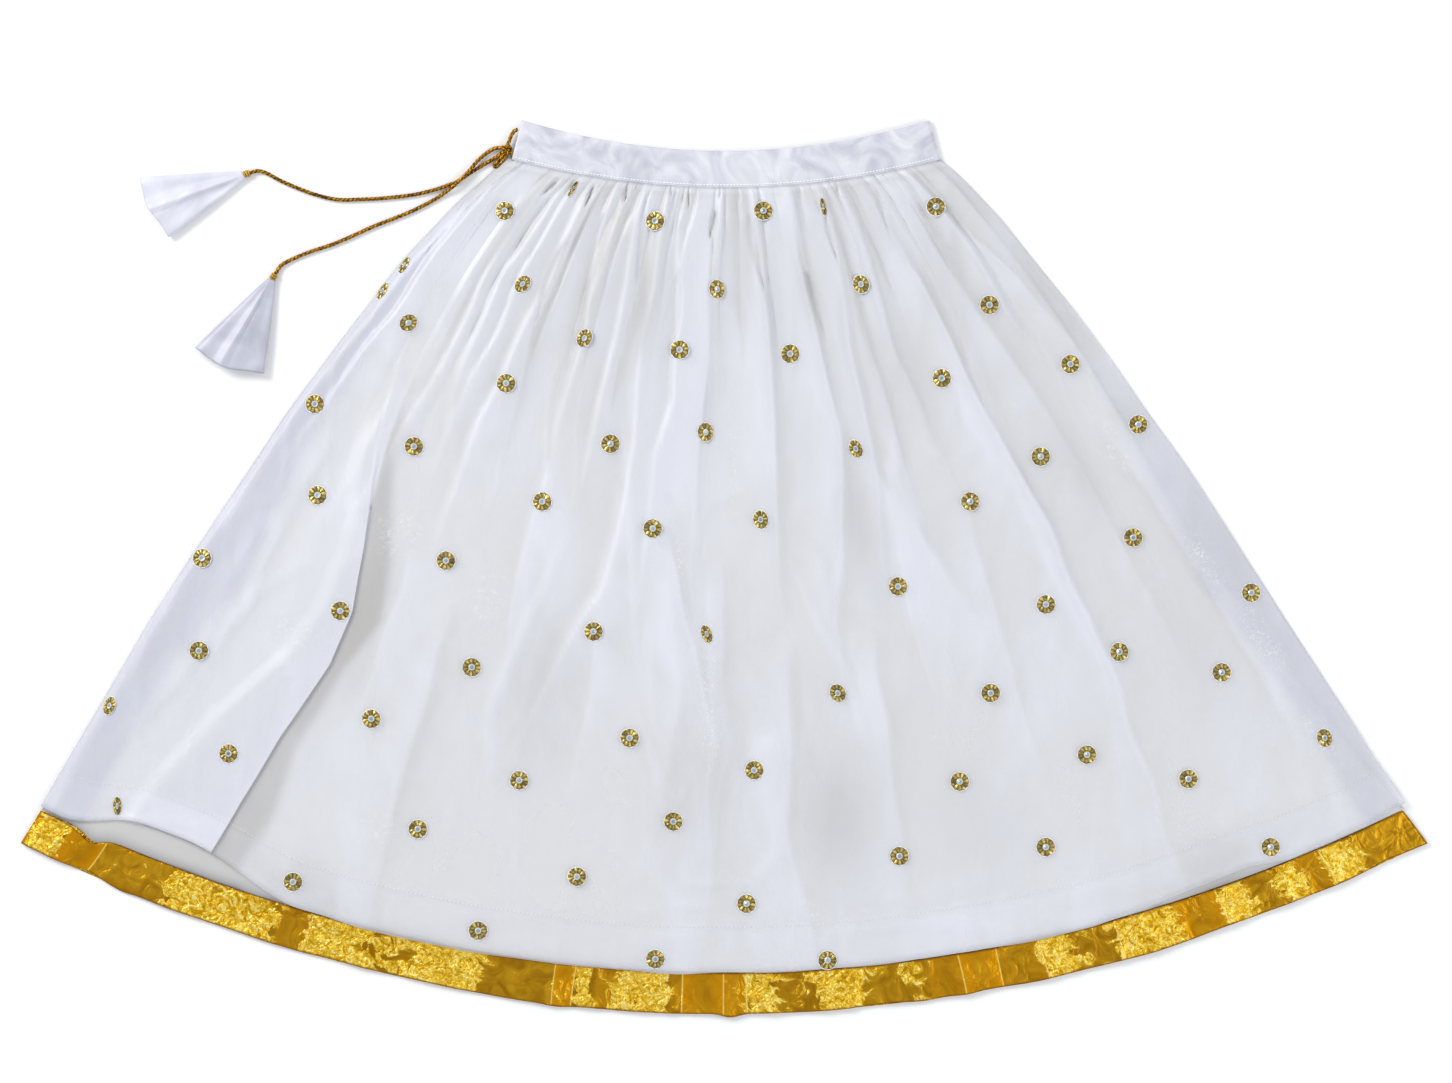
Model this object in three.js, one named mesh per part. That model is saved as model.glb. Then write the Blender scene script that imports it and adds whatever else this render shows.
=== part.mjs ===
// A girl's gathered lehenga skirt, laid flat on its back on a level surface.
// It has two tubes of cloth that hang from one waistband: a sheer overskirt, gathered hard into the band,
// and a plain underskirt that ends in a metallic border. A drawstring comes out of the open left end of
// the band, is tied once, and lies beside the skirt with a cloth tassel on each end.
// Frame, in millimetres: +X to the right of the laid skirt, +Y from hem to waist, +Z up.
// The origin is on the surface, at the middle of the skirt's footprint without the drawstring.

import * as THREE from "three";

// ---------------------------------------------------------------- driving sizes
const WALL = 1.0; // thickness of one layer of cloth
const GAP = 0.3; // clearance between pieces that touch
const LAYER = WALL + GAP; // rise from one laid layer to the next

const LAID_LENGTH = 696; // band's top corners to the lowest point of the hem
const BAND_DEPTH = 31; // waistband, top edge to gathering seam
const BAND_WALL = 1.6; // the band is folded double, so it is thicker
const BAND_TOP_HALF = 159; // half of the laid width at the band's top edge
const BAND_TOP_SAG = 24; // how far the band's top edge dips at its middle
const WAIST_HALF = 167; // half of the laid width at the gathering seam
const WAIST_SAG = 22; // dip of the gathering seam
const HEM_HALF = 548; // half of the laid width at the hem
const HEM_SAG = 133; // how far the hem bows out at its middle
const FLARE_POWER = 0.82; // below 1, the side edges bow outwards
const BORDER_DEPTH = 32; // metallic border

const TOP_END = LAID_LENGTH / 2; // y of the band's top corners
const SEAM_END = TOP_END - BAND_DEPTH; // y of the gathering seam at the side edges
const HEM_END = HEM_SAG - LAID_LENGTH / 2; // y of the hem at the side edges
const CENTRE_LENGTH = SEAM_END - WAIST_SAG + LAID_LENGTH / 2; // seam to hem, down the middle
const BORDER_START = 1 - BORDER_DEPTH / CENTRE_LENGTH; // the border's top edge, as a share of the length
const EDGE_SHARE = GAP / CENTRE_LENGTH; // the clearance, as a share of the length

// Middle of each layer above the surface.
const OVER_BACK = WALL / 2;
const UNDER_BACK = OVER_BACK + LAYER;
const UNDER_FRONT = UNDER_BACK + LAYER;
const OVER_FRONT = UNDER_FRONT + LAYER;

const SIDE_DROP = 5; // the overskirt's front comes down to its back within this distance of the side

const SIDE_ROWS = [
  // down the side edges: how far inside them the underskirt lies, and how much of the drop there is
  { down: 0, inset: 8, drop: 1 },
  { down: 0.25, inset: 15, drop: 1 },
  { down: 0.55, inset: 27, drop: 1 },
  { down: 0.78, inset: 15, drop: 1 },
  { down: BORDER_START, inset: 2, drop: 0 },
  { down: 1, inset: 0, drop: 0 },
];

// ---------------------------------------------------------------- gathers and folds of the front
const GATHERS = 34;
const GATHER_DRIFT = [
  // uneven spacing: waves across the panel, size in gathers, phase
  { waves: 5.3, size: 0.25, phase: 0.6 },
  { waves: 11.7, size: 0.12, phase: 2.0 },
];
const GATHER_HEIGHT = { seam: 1.2, most: 3.4, mostAt: 0.06, goneAt: 0.36 };

const FOLDS = [
  // share across (-1 left side, 1 right side) and down (0 seam, 1 hem) of both ends, height and half width
  { fromX: -0.87, fromY: 0.03, toX: -0.86, toY: 0.5, high: 3.0, wide: 13 },
  { fromX: -0.66, fromY: 0.03, toX: -0.68, toY: 0.34, high: 3.5, wide: 11 },
  { fromX: -0.52, fromY: 0.03, toX: -0.52, toY: 0.62, high: 4.5, wide: 17 },
  { fromX: -0.36, fromY: 0.02, toX: -0.34, toY: 0.7, high: 4.5, wide: 18 },
  { fromX: -0.17, fromY: 0.02, toX: -0.2, toY: 0.84, high: 5.0, wide: 17 },
  { fromX: -0.05, fromY: 0.05, toX: -0.04, toY: 0.88, high: 4.0, wide: 12 },
  { fromX: 0.03, fromY: 0.02, toX: 0.02, toY: 0.8, high: 4.5, wide: 13 },
  { fromX: 0.19, fromY: 0.04, toX: 0.1, toY: 0.9, high: 5.0, wide: 15 },
  { fromX: 0.27, fromY: 0.03, toX: 0.22, toY: 0.56, high: 4.5, wide: 12 },
  { fromX: 0.4, fromY: 0.02, toX: 0.38, toY: 0.78, high: 4.5, wide: 19 },
  { fromX: 0.5, fromY: 0.03, toX: 0.66, toY: 0.52, high: 4.5, wide: 14 },
  { fromX: 0.62, fromY: 0.3, toX: 0.665, toY: 1.0, high: 5.0, wide: 17 },
  { fromX: 0.74, fromY: 0.03, toX: 0.82, toY: 0.6, high: 3.5, wide: 15 },
  { fromX: 0.92, fromY: 0.3, toX: 0.91, toY: 0.9, high: 2.5, wide: 14 },
];

// One deep fold on the left laps over to the right: rows down the skirt, with the place of its edge across,
// how far the cloth laps under it (a negative lap is still an open slope) and how high it stands.
const LAP_ROWS = [
  { down: 0.0, edge: -0.86, lap: -12, rise: 0.0 },
  { down: 0.25, edge: -0.83, lap: -12, rise: 0.9 },
  { down: 0.38, edge: -0.785, lap: -5, rise: 2.2 },
  { down: 0.5, edge: -0.73, lap: 2.5, rise: 2 * LAYER },
  { down: 0.65, edge: -0.71, lap: 22, rise: 2 * LAYER },
  { down: 0.76, edge: -0.742, lap: 40, rise: 2 * LAYER },
  { down: 0.86, edge: -0.76, lap: 52, rise: 2 * LAYER },
  { down: 1.0, edge: -0.77, lap: 60, rise: 2 * LAYER },
];
const LAP_RAMP = 14; // the lapped cloth climbs to its full height over this distance
const LAP_CLEAR = 4; // and has done so this far before the place where it is folded back
const HEM_LIFT = { whole: -0.8, gone: -0.62, high: 20, power: 8 }; // the lap pulls the hem up to its left

const BORDER_FOLDS = [
  // where the border buckles: share across, height and half width
  { at: -0.94, high: 3.2, wide: 13 },
  { at: -0.885, high: 1.6, wide: 8 },
  { at: -0.62, high: 1.8, wide: 26 },
  { at: -0.42, high: 2.0, wide: 14 },
  { at: -0.22, high: 2.2, wide: 18 },
  { at: -0.02, high: 2.6, wide: 16 },
  { at: 0.13, high: 1.6, wide: 22 },
  { at: 0.33, high: 2.4, wide: 12 },
  { at: 0.47, high: 1.6, wide: 20 },
  { at: 0.66, high: 2.2, wide: 14 },
  { at: 0.83, high: 1.6, wide: 18 },
];

// ---------------------------------------------------------------- drawstring
const CORD_RADIUS = 1.5;
const CORD_SIDES = 8;
const CORD_STEP = 7; // one ring each so many millimetres
const CORD_REST = CORD_RADIUS + 0.1; // height of a cord's middle where it lies on the surface
const KNOT = { at: [-170.6, 325.2, 4.2], radii: [4.2, 4.8, 3.8] };
const BEAD_RADIUS = 2.4;

// Routes of the cords, from the waistband outwards. These are free curves, so their points are set by hand.
const TIE_STRAND_ROUTE = [
  [-162.1, 341.0, 4.1],
  [-164.8, 339.6, 4.3],
  [-167.6, 335.4, 4.4],
  [-169.4, 330.4, 4.3],
];
const TIE_LOOP_ROUTE = [
  [-171.6, 320.2, 2.4],
  [-174.6, 316.6, CORD_REST],
  [-177.2, 314.0, CORD_REST],
  [-180.0, 311.4, CORD_REST],
];
const CORD_LOWER_ROUTE = [
  [-174.9, 326.8, 3.4],
  [-180.2, 326.2, 2.2],
  [-186.4, 322.9, 1.7],
  [-193.4, 316.7, 2.8],
  [-199.7, 308.9, 4.9],
  [-205.9, 302.6, 5.1],
  [-212.2, 296.8, 4.5],
  [-219.2, 291.7, 2.5],
  [-226.0, 287.2, CORD_REST],
  [-242.6, 278.5, CORD_REST],
  [-258.4, 271.9, CORD_REST],
  [-274.6, 265.6, CORD_REST],
  [-290.0, 258.6, CORD_REST],
  [-305.8, 251.9, CORD_REST],
  [-326.4, 244.9, CORD_REST],
  [-340.9, 238.6, CORD_REST],
  [-347.1, 234.8, 2.0],
  [-351.1, 228.5, 2.4],
];
const CORD_UPPER_ROUTE = [
  [-174.9, 322.4, 2.6],
  [-180.6, 318.6, CORD_REST],
  [-190.3, 312.8, CORD_REST],
  [-200.0, 306.9, CORD_REST],
  [-210.6, 299.9, CORD_REST],
  [-216.1, 297.9, CORD_REST],
  [-225.8, 294.5, CORD_REST],
  [-242.6, 290.4, CORD_REST],
  [-268.3, 287.4, CORD_REST],
  [-285.0, 286.6, CORD_REST],
  [-301.1, 286.3, CORD_REST],
  [-314.0, 288.6, CORD_REST],
  [-326.4, 292.5, CORD_REST],
  [-347.1, 301.1, CORD_REST],
  [-358.8, 307.3, CORD_REST],
  [-365.0, 308.8, 2.0],
  [-370.8, 307.3, 2.4],
];

// A tassel is a flattened cone of cloth: its tip, the two corners of its mouth, how high the mouth stands,
// and how far its edge bows out.
const TASSELS = {
  tassel_upper: { tip: [-375.9, 305.6], left: [-457.6, 303.6], right: [-434.0, 256.8], high: 9, bow: 3 },
  tassel_lower: { tip: [-354.1, 223.9], left: [-414.0, 170.2], right: [-359.8, 150.6], high: 11, bow: 5 },
};
const TASSEL_TIP_RADIUS = 3.2;
const TASSEL_SIDES = 18;
const TASSEL_RINGS = [0, 0.06, 0.2, 0.4, 0.6, 0.8, 0.92, 1]; // shares of the length, tip to mouth
const TASSEL_SOLID_TIP = 0.14; // the cloth is bound tight over this share of the length

// ---------------------------------------------------------------- colours
const cloth = (color, roughness, metalness = 0) =>
  new THREE.MeshStandardMaterial({ color, roughness, metalness });
const ORGANZA = cloth(0xe9ebf4, 0.45);
const LINING = cloth(0xf1efec, 0.7);
const SATIN = cloth(0xe6e8f0, 0.35);
const GOLD_TISSUE = cloth(0xd6a21c, 0.35, 0.8);
const GOLD_CORD = cloth(0xa8741a, 0.45, 0.7);
const GOLD_BEAD = cloth(0xc99a2e, 0.25, 0.9);

// ---------------------------------------------------------------- small maths
const mix = (a, b, share) => a + (b - a) * share;
const limit = (value, low, high) => Math.min(high, Math.max(low, value));
const ease = (value) => {
  const v = limit(value, 0, 1);
  return v * v * (3 - 2 * v);
};
const range = (count) => Array.from({ length: count + 1 }, (_, i) => i / count);

// ---------------------------------------------------------------- plan of the laid skirt
// Half of the laid width at a share down from the seam to the hem.
const halfWidth = (down) => WAIST_HALF + (HEM_HALF - WAIST_HALF) * Math.pow(limit(down, 0, 1), FLARE_POWER);

// y of the point at a share across and a share down: each row is a shallow bow.
function rowY(across, down) {
  const sag = mix(WAIST_SAG, HEM_SAG, down);
  return mix(SEAM_END, HEM_END, down) - sag * (1 - across * across);
}

// A table's row at a share down, with its numbers blended between the two rows that it lies between.
function rowAt(table, down) {
  const next = table.findIndex((row) => row.down >= down);
  if (next <= 0) return table.at(next);
  const [a, b] = [table[next - 1], table[next]];
  const share = (down - a.down) / (b.down - a.down);
  return Object.fromEntries(Object.keys(a).map((key) => [key, mix(a[key], b[key], share)]));
}

// The share down that a point of the overskirt is pulled up to by the lap, most at the hem.
function pulledUp(across, down) {
  const { whole, gone, high, power } = HEM_LIFT;
  const pull = (1 - ease((across - whole) / (gone - whole))) * Math.pow(down / BORDER_START, power);
  return down - (high * pull) / (SEAM_END - HEM_END);
}

// ---------------------------------------------------------------- shape of the overskirt's front
// Gathers counted from the left side to a share across, with their uneven spacing.
const gatherPhase = (share) =>
  GATHER_DRIFT.reduce(
    (sum, d) => sum + d.size * Math.sin(2 * Math.PI * d.waves * share + d.phase),
    GATHERS * share,
  );

function gatherHeight(down) {
  const { seam, most, mostAt, goneAt } = GATHER_HEIGHT;
  if (down < mostAt) return mix(seam, most, ease(down / mostAt));
  return most * (1 - ease((down - mostAt) / (goneAt - mostAt)));
}

function foldHeight(across, down) {
  return FOLDS.reduce((sum, f) => {
    const along = (down - f.fromY) / (f.toY - f.fromY);
    if (along <= 0 || along >= 1) return sum;
    const off = ((across - mix(f.fromX, f.toX, along)) * halfWidth(down)) / f.wide;
    return sum + f.high * Math.pow(Math.sin(Math.PI * Math.sqrt(along)), 0.8) * Math.exp(-off * off);
  }, 0);
}

// Height of the front's middle surface, without the lap.
function frontHeight(across, down) {
  const fromSide = (1 - Math.abs(across)) * halfWidth(down);
  const wave = 0.5 - 0.5 * Math.cos(2 * Math.PI * gatherPhase((across + 1) / 2));
  const relief = gatherHeight(down) * wave + foldHeight(across, down);
  const inside = ease((fromSide - SIDE_DROP) / (2 * SIDE_DROP));
  const drop = rowAt(SIDE_ROWS, down).drop * (1 - ease(fromSide / SIDE_DROP));
  return mix(OVER_FRONT, UNDER_BACK, drop) + relief * inside;
}

// Section of the deep fold in (x, rise): over its edge, back under itself, and on along the layer below.
function lapSection(edgeX, lap, rise) {
  const steps = range(9);
  if (lap <= 0) return steps.map((u) => [edgeX - lap * (u - 0.5), rise * (1 - ease(u))]);
  const r = LAYER / 2;
  const bend = (x, z, side) =>
    [0, 1, 2, 3, 4].map((k) => {
      const turn = (Math.PI * k) / 4;
      return [x + side * r * Math.sin(turn), z + r * (Math.cos(turn) - 1)];
    });
  return [...bend(edgeX - r, 2 * LAYER, 1), ...bend(edgeX - lap + r, LAYER, -1)];
}

// ---------------------------------------------------------------- walls of cloth
// Gives a section line its two faces, half a wall to each side of it.
function thicken(line, wall) {
  return line.map((p, i) => {
    const [a, b] = [line[Math.max(i - 1, 0)], line[Math.min(i + 1, line.length - 1)]];
    const long = Math.hypot(b.x - a.x, b.z - a.z) || 1;
    const [nx, nz] = [(-(b.z - a.z) / long) * (wall / 2), ((b.x - a.x) / long) * (wall / 2)];
    return { share: p.share, outer: [p.x + nx, p.y, p.z + nz], inner: [p.x - nx, p.y, p.z - nz] };
  });
}

// Closed solid through rows of faced points. The rows run down the piece, and need not have equal counts.
function wallGeometry(rows) {
  const positions = [];
  const index = [];
  const put = (row, face) => row.map((p) => positions.push(...p[face]) / 3 - 1);
  const outer = rows.map((row) => put(row, "outer"));
  const inner = rows.map((row) => put(row, "inner"));
  const quad = (a, b, c, d) => index.push(a, b, c, b, d, c);
  for (let r = 0; r + 1 < rows.length; r++) {
    const [upper, lower] = [rows[r], rows[r + 1]];
    let [i, j] = [0, 0];
    while (i + 1 < upper.length || j + 1 < lower.length) {
      const upperNext = i + 1 < upper.length ? upper[i + 1].share : Infinity;
      const lowerNext = j + 1 < lower.length ? lower[j + 1].share : Infinity;
      if (upperNext <= lowerNext) {
        index.push(outer[r][i], outer[r + 1][j], outer[r][i + 1]);
        index.push(inner[r][i], inner[r][i + 1], inner[r + 1][j]);
        i++;
      } else {
        index.push(outer[r][i], outer[r + 1][j], outer[r + 1][j + 1]);
        index.push(inner[r][i], inner[r + 1][j + 1], inner[r + 1][j]);
        j++;
      }
    }
    const [ou, ol, nu, nl] = [outer[r], outer[r + 1], inner[r], inner[r + 1]];
    quad(ol[0], ou[0], nl[0], nu[0]);
    quad(ou.at(-1), ol.at(-1), nu.at(-1), nl.at(-1));
  }
  const last = rows.length - 1;
  for (let i = 0; i + 1 < rows[0].length; i++)
    quad(outer[0][i], outer[0][i + 1], inner[0][i], inner[0][i + 1]);
  for (let i = 0; i + 1 < rows[last].length; i++)
    quad(outer[last][i + 1], outer[last][i], inner[last][i + 1], inner[last][i]);
  return new THREE.BufferGeometry()
    .setAttribute("position", new THREE.Float32BufferAttribute(positions, 3))
    .setIndex(index);
}

const piece = (name, geometry, material) => {
  const mesh = new THREE.Mesh(geometry, material);
  mesh.name = name;
  return mesh;
};

// A panel whose height is a plain function of its place. It may lie inside the side edges, or be pulled up.
function panel(name, downs, columns, heightAt, material, options = {}) {
  const { insetAt = () => 0, placeAt = (across, down) => down } = options;
  const rows = downs.map((down) => {
    const reach = 1 - insetAt(down) / halfWidth(down);
    const line = range(columns).map((share) => {
      const across = (2 * share - 1) * reach;
      const place = placeAt(across, down);
      return { share, x: across * halfWidth(place), y: rowY(across, place), z: heightAt(across, down) };
    });
    return thicken(line, WALL);
  });
  return piece(name, wallGeometry(rows), material);
}

// ---------------------------------------------------------------- pieces of the skirt
// Where a gather's crest, flanks and hollow fall across the seam.
function gatherShares() {
  const perGather = 4;
  const [first, last] = [gatherPhase(0), gatherPhase(1)];
  const shares = [0];
  for (let k = Math.ceil(first * perGather + 0.3); k < last * perGather - 0.3; k++) {
    let [low, high] = [0, 1];
    for (let n = 0; n < 30; n++) {
      const mid = (low + high) / 2;
      if (gatherPhase(mid) * perGather < k) low = mid;
      else high = mid;
    }
    shares.push(low);
  }
  return [...shares, 1];
}

// Value at a place along a list of [place, value] pairs, blended between the two that it lies between.
function blend(pairs, place) {
  const next = pairs.findIndex(([x]) => x >= place);
  if (next <= 0) return pairs.at(next)[1];
  const [a, b] = [pairs[next - 1], pairs[next]];
  return mix(a[1], b[1], (place - a[0]) / (b[0] - a[0]));
}

// One row of the overskirt's front: up the ramp and over the lap, back under it, and on to the right.
function frontRow(down, shares) {
  const half = halfWidth(down);
  const { edge, lap, rise } = rowAt(LAP_ROWS, down);
  const edgeX = edge * half;
  const lapped = lap > 0;
  const slope = Math.abs(lap) / 2 + 2 * LAYER;
  const overEnd = edgeX - (lapped ? LAYER : slope);
  const underStart = edgeX + (lapped ? LAYER - lap : slope);
  const rampEnd = (lapped ? edgeX - lap : overEnd) - LAP_CLEAR;
  const rampStart = rampEnd - LAP_RAMP;
  const height = (x) => frontHeight(x / half, down);
  const lift = (x) => rise * ease((x - rampStart) / LAP_RAMP);

  // Shares that match the columns of one row with those of the next: the lap has the same ones in each.
  const seam = (LAP_ROWS[0].edge + 1) / 2;
  const overShares = [[-half, 0], [rampStart, 0.8 * seam], [rampEnd, 0.9 * seam], [overEnd, seam]];
  const underShares = [[underStart, seam + 0.002], [-0.6 * half, 0.2], [half, 1]];
  const at = (x, z, share) => {
    const place = pulledUp(x / half, down);
    return { share, x: (x / half) * halfWidth(place), y: rowY(x / half, place), z };
  };
  const sideShape = [0.5, 1, 1.8].map((k) => k * SIDE_DROP);
  const xs = [
    ...shares.map((share) => (2 * share - 1) * half),
    ...sideShape.flatMap((d) => [d - half, half - d]),
    ...[rampStart, (rampStart + rampEnd) / 2, rampEnd],
  ].sort((a, b) => a - b);
  const spaced = (list) => list.filter((x, i) => i === 0 || x - list[i - 1] > 0.9);
  const overXs = spaced(xs.filter((x) => x < overEnd));
  const underXs = spaced(xs.filter((x) => x > underStart));
  const over = overXs.map((x) => at(x, height(x) + lift(x), blend(overShares, x)));
  const under = underXs.map((x) => at(x, height(x), blend(underShares, x)));
  const middle = height(edgeX);
  const bent = lapSection(edgeX, lap, rise).map(([x, z], i) =>
    at(x, (lapped ? height(x) : middle) + z, seam + (i + 1) * 1e-4),
  );
  return thicken([...over, ...bent, ...under], WALL);
}

function overskirtFront() {
  const fine = gatherShares();
  const rows = [
    ...[0, 0.025, 0.06, 0.11, 0.17, 0.24].map((down) => frontRow(down, fine)),
    ...[0.33, 0.42, 0.5, 0.54, 0.58, 0.66].map((down) => frontRow(down, range(68))),
    ...[0.75, 0.84, 0.91, BORDER_START - 2 * EDGE_SHARE].map((down) => frontRow(down, range(46))),
  ];
  return piece("overskirt_front", wallGeometry(rows), ORGANZA);
}

function overskirtBack() {
  const downs = [EDGE_SHARE, 0.1, 0.25, 0.45, 0.65, 0.82, BORDER_START - 2 * EDGE_SHARE];
  return panel("overskirt_back", downs, 24, () => OVER_BACK, ORGANZA, { placeAt: pulledUp });
}

const UNDER_DOWNS = [EDGE_SHARE, 0.12, 0.3, 0.5, 0.7, 0.85, BORDER_START - EDGE_SHARE];
const insetAt = (down) => rowAt(SIDE_ROWS, down).inset;
const underskirt = (name, height) => panel(name, UNDER_DOWNS, 24, () => height, LINING, { insetAt });

const BORDER_DOWNS = [BORDER_START + EDGE_SHARE, mix(BORDER_START, 1, 0.34), mix(BORDER_START, 1, 0.67), 1];
const towardHem = (down) => ease((down - BORDER_START) / (0.5 * (1 - BORDER_START)));

// The back border steps down from the underskirt's level to the surface.
function borderBack() {
  const height = (across, down) => mix(UNDER_BACK, OVER_BACK, towardHem(down));
  return panel("border_back", BORDER_DOWNS, 32, height, GOLD_TISSUE, { insetAt });
}

// The front border lies on the back one, and buckles here and there.
function borderFront() {
  const height = (across, down) => {
    const buckle = BORDER_FOLDS.reduce((sum, f) => {
      const off = ((across - f.at) * halfWidth(down)) / f.wide;
      return sum + f.high * Math.exp(-off * off);
    }, 0);
    return mix(UNDER_FRONT, UNDER_BACK, towardHem(down)) + buckle * mix(0.35, 1, towardHem(down));
  };
  return panel("border_front", BORDER_DOWNS, 96, height, GOLD_TISSUE, { insetAt });
}

// The waistband: one strip that runs across the front, folds round the right end and comes back behind.
// Its left end is open, where the drawstring comes out.
function waistband() {
  const backMiddle = BAND_WALL / 2;
  const frontMiddle = OVER_FRONT + WALL / 2 - BAND_WALL / 2;
  const turn = (frontMiddle - backMiddle) / 2;
  const downs = [0, 0.25, 0.5, 0.75, 1 - GAP / BAND_DEPTH];
  const rows = downs.map((down) => {
    const half = mix(BAND_TOP_HALF, WAIST_HALF, down);
    const sag = mix(BAND_TOP_SAG, WAIST_SAG, down);
    const y = (x) => TOP_END - BAND_DEPTH * down - sag * (1 - (x / half) ** 2);
    const flat = range(24).map((share) => mix(-half, half - turn - BAND_WALL / 2, share));
    const bendX = flat.at(-1);
    const front = flat.map((x) => [x, frontMiddle]);
    const bend = [1, 2, 3].map((k) => {
      const a = (Math.PI * k) / 4;
      return [bendX + turn * Math.sin(a), backMiddle + turn * (1 + Math.cos(a))];
    });
    const back = [...flat].reverse().map((x) => [x, backMiddle]);
    const line = [...front, ...bend, ...back].map(([x, z], i) => ({ share: i, x, y: y(x), z }));
    return thicken(line, BAND_WALL);
  });
  return piece("waistband", wallGeometry(rows), SATIN);
}

// ---------------------------------------------------------------- drawstring and tassels
function cord(name, route) {
  const path = new THREE.CatmullRomCurve3(route.map((p) => new THREE.Vector3(...p)), false, "centripetal");
  const section = new THREE.Shape(
    Array.from({ length: CORD_SIDES }, (_, k) => {
      const a = (2 * Math.PI * k) / CORD_SIDES;
      return new THREE.Vector2(CORD_RADIUS * Math.cos(a), CORD_RADIUS * Math.sin(a));
    }),
  );
  const steps = Math.max(4, Math.round(path.getLength() / CORD_STEP));
  return piece(name, new THREE.ExtrudeGeometry(section, { steps, extrudePath: path }), GOLD_CORD);
}

function knot() {
  const mesh = piece("knot", new THREE.SphereGeometry(1, 12, 8), GOLD_CORD);
  mesh.scale.set(...KNOT.radii);
  mesh.position.set(...KNOT.at);
  return mesh;
}

// A bead sits between the end of its cord and the tip of its tassel.
function bead(name, route, tip) {
  const end = route.at(-1);
  const mesh = piece(name, new THREE.SphereGeometry(BEAD_RADIUS, 12, 8), GOLD_BEAD);
  mesh.position.set((end[0] + tip[0]) / 2, (end[1] + tip[1]) / 2, BEAD_RADIUS + 0.1);
  return mesh;
}

// A ring of the tassel: a flattened loop that rests on the surface. A positive skin gives its inside.
function tasselRing(size, u, skin) {
  const { tip, left, right, high, bow } = size;
  const half = mix(TASSEL_TIP_RADIUS, Math.hypot(left[0] - right[0], left[1] - right[1]) / 2, u) - skin;
  const rise = mix(TASSEL_TIP_RADIUS, high / 2, ease(u)) - skin;
  const middle = [(left[0] + right[0]) / 2, (left[1] + right[1]) / 2];
  const along = [middle[0] - tip[0], middle[1] - tip[1]];
  const long = Math.hypot(...along);
  const side = [(right[0] - left[0]) / 2, (right[1] - left[1]) / 2];
  const wide = Math.hypot(...side);
  return Array.from({ length: TASSEL_SIDES }, (_, k) => {
    const a = (2 * Math.PI * k) / TASSEL_SIDES;
    const [c, s] = [Math.cos(a), Math.sin(a)];
    const out = (bow * u * (1 - c * c)) / long;
    const x = tip[0] + along[0] * (u + out) + (side[0] / wide) * half * c;
    const y = tip[1] + along[1] * (u + out) + (side[1] / wide) * half * c;
    return [x, y, Math.max(skin, 0.85 * (rise + skin) + rise * s)];
  });
}

function tassel(name, size) {
  const outside = TASSEL_RINGS.map((u) => tasselRing(size, u, 0));
  const inside = TASSEL_RINGS.filter((u) => u > TASSEL_SOLID_TIP)
    .reverse()
    .map((u) => tasselRing(size, u, WALL));
  const rings = [...outside, ...inside];
  const positions = rings.flat(2);
  const index = [];
  const n = TASSEL_SIDES;
  for (let r = 0; r + 1 < rings.length; r++)
    for (let k = 0; k < n; k++) {
      const [a, b] = [r * n + k, r * n + ((k + 1) % n)];
      index.push(a, b, a + n, b, b + n, a + n);
    }
  // Both ends are closed by a fan round a middle point.
  const close = (ring, first, flip) => {
    const centre = positions.length / 3;
    const mean = [0, 1, 2].map((axis) => ring.reduce((sum, p) => sum + p[axis], 0) / n);
    positions.push(...mean);
    for (let k = 0; k < n; k++) {
      const [a, b] = [first + k, first + ((k + 1) % n)];
      index.push(...(flip ? [centre, b, a] : [centre, a, b]));
    }
  };
  close(rings[0], 0, true);
  close(rings.at(-1), (rings.length - 1) * n, false);
  const geometry = new THREE.BufferGeometry()
    .setAttribute("position", new THREE.Float32BufferAttribute(positions, 3))
    .setIndex(index);
  return piece(name, geometry, SATIN);
}

// ---------------------------------------------------------------- the lehenga
const lehenga = new THREE.Group();
lehenga.add(
  waistband(),
  overskirtBack(),
  underskirt("underskirt_back", UNDER_BACK),
  borderBack(),
  underskirt("underskirt_front", UNDER_FRONT),
  borderFront(),
  overskirtFront(),
  cord("tie_strand", TIE_STRAND_ROUTE),
  cord("tie_loop", TIE_LOOP_ROUTE),
  knot(),
  cord("cord_upper", CORD_UPPER_ROUTE),
  cord("cord_lower", CORD_LOWER_ROUTE),
  bead("bead_upper", CORD_UPPER_ROUTE, TASSELS.tassel_upper.tip),
  bead("bead_lower", CORD_LOWER_ROUTE, TASSELS.tassel_lower.tip),
  ...Object.entries(TASSELS).map(([name, size]) => tassel(name, size)),
);

export default lehenga;
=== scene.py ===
# A child's lehenga skirt, laid flat on its back: a sheer overskirt dotted with sequin flowers and gathered
# into a satin band, a plain underskirt with a gold border, and a gold drawstring with two cloth tassels.
# Frame: +X to the right, +Y from hem to waist, +Z up from the surface. Sizes are in millimetres until a
# mesh is made from them, in metres.

import math

import bpy
import numpy as np
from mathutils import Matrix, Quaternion, Vector
from mathutils.bvhtree import BVHTree


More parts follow.
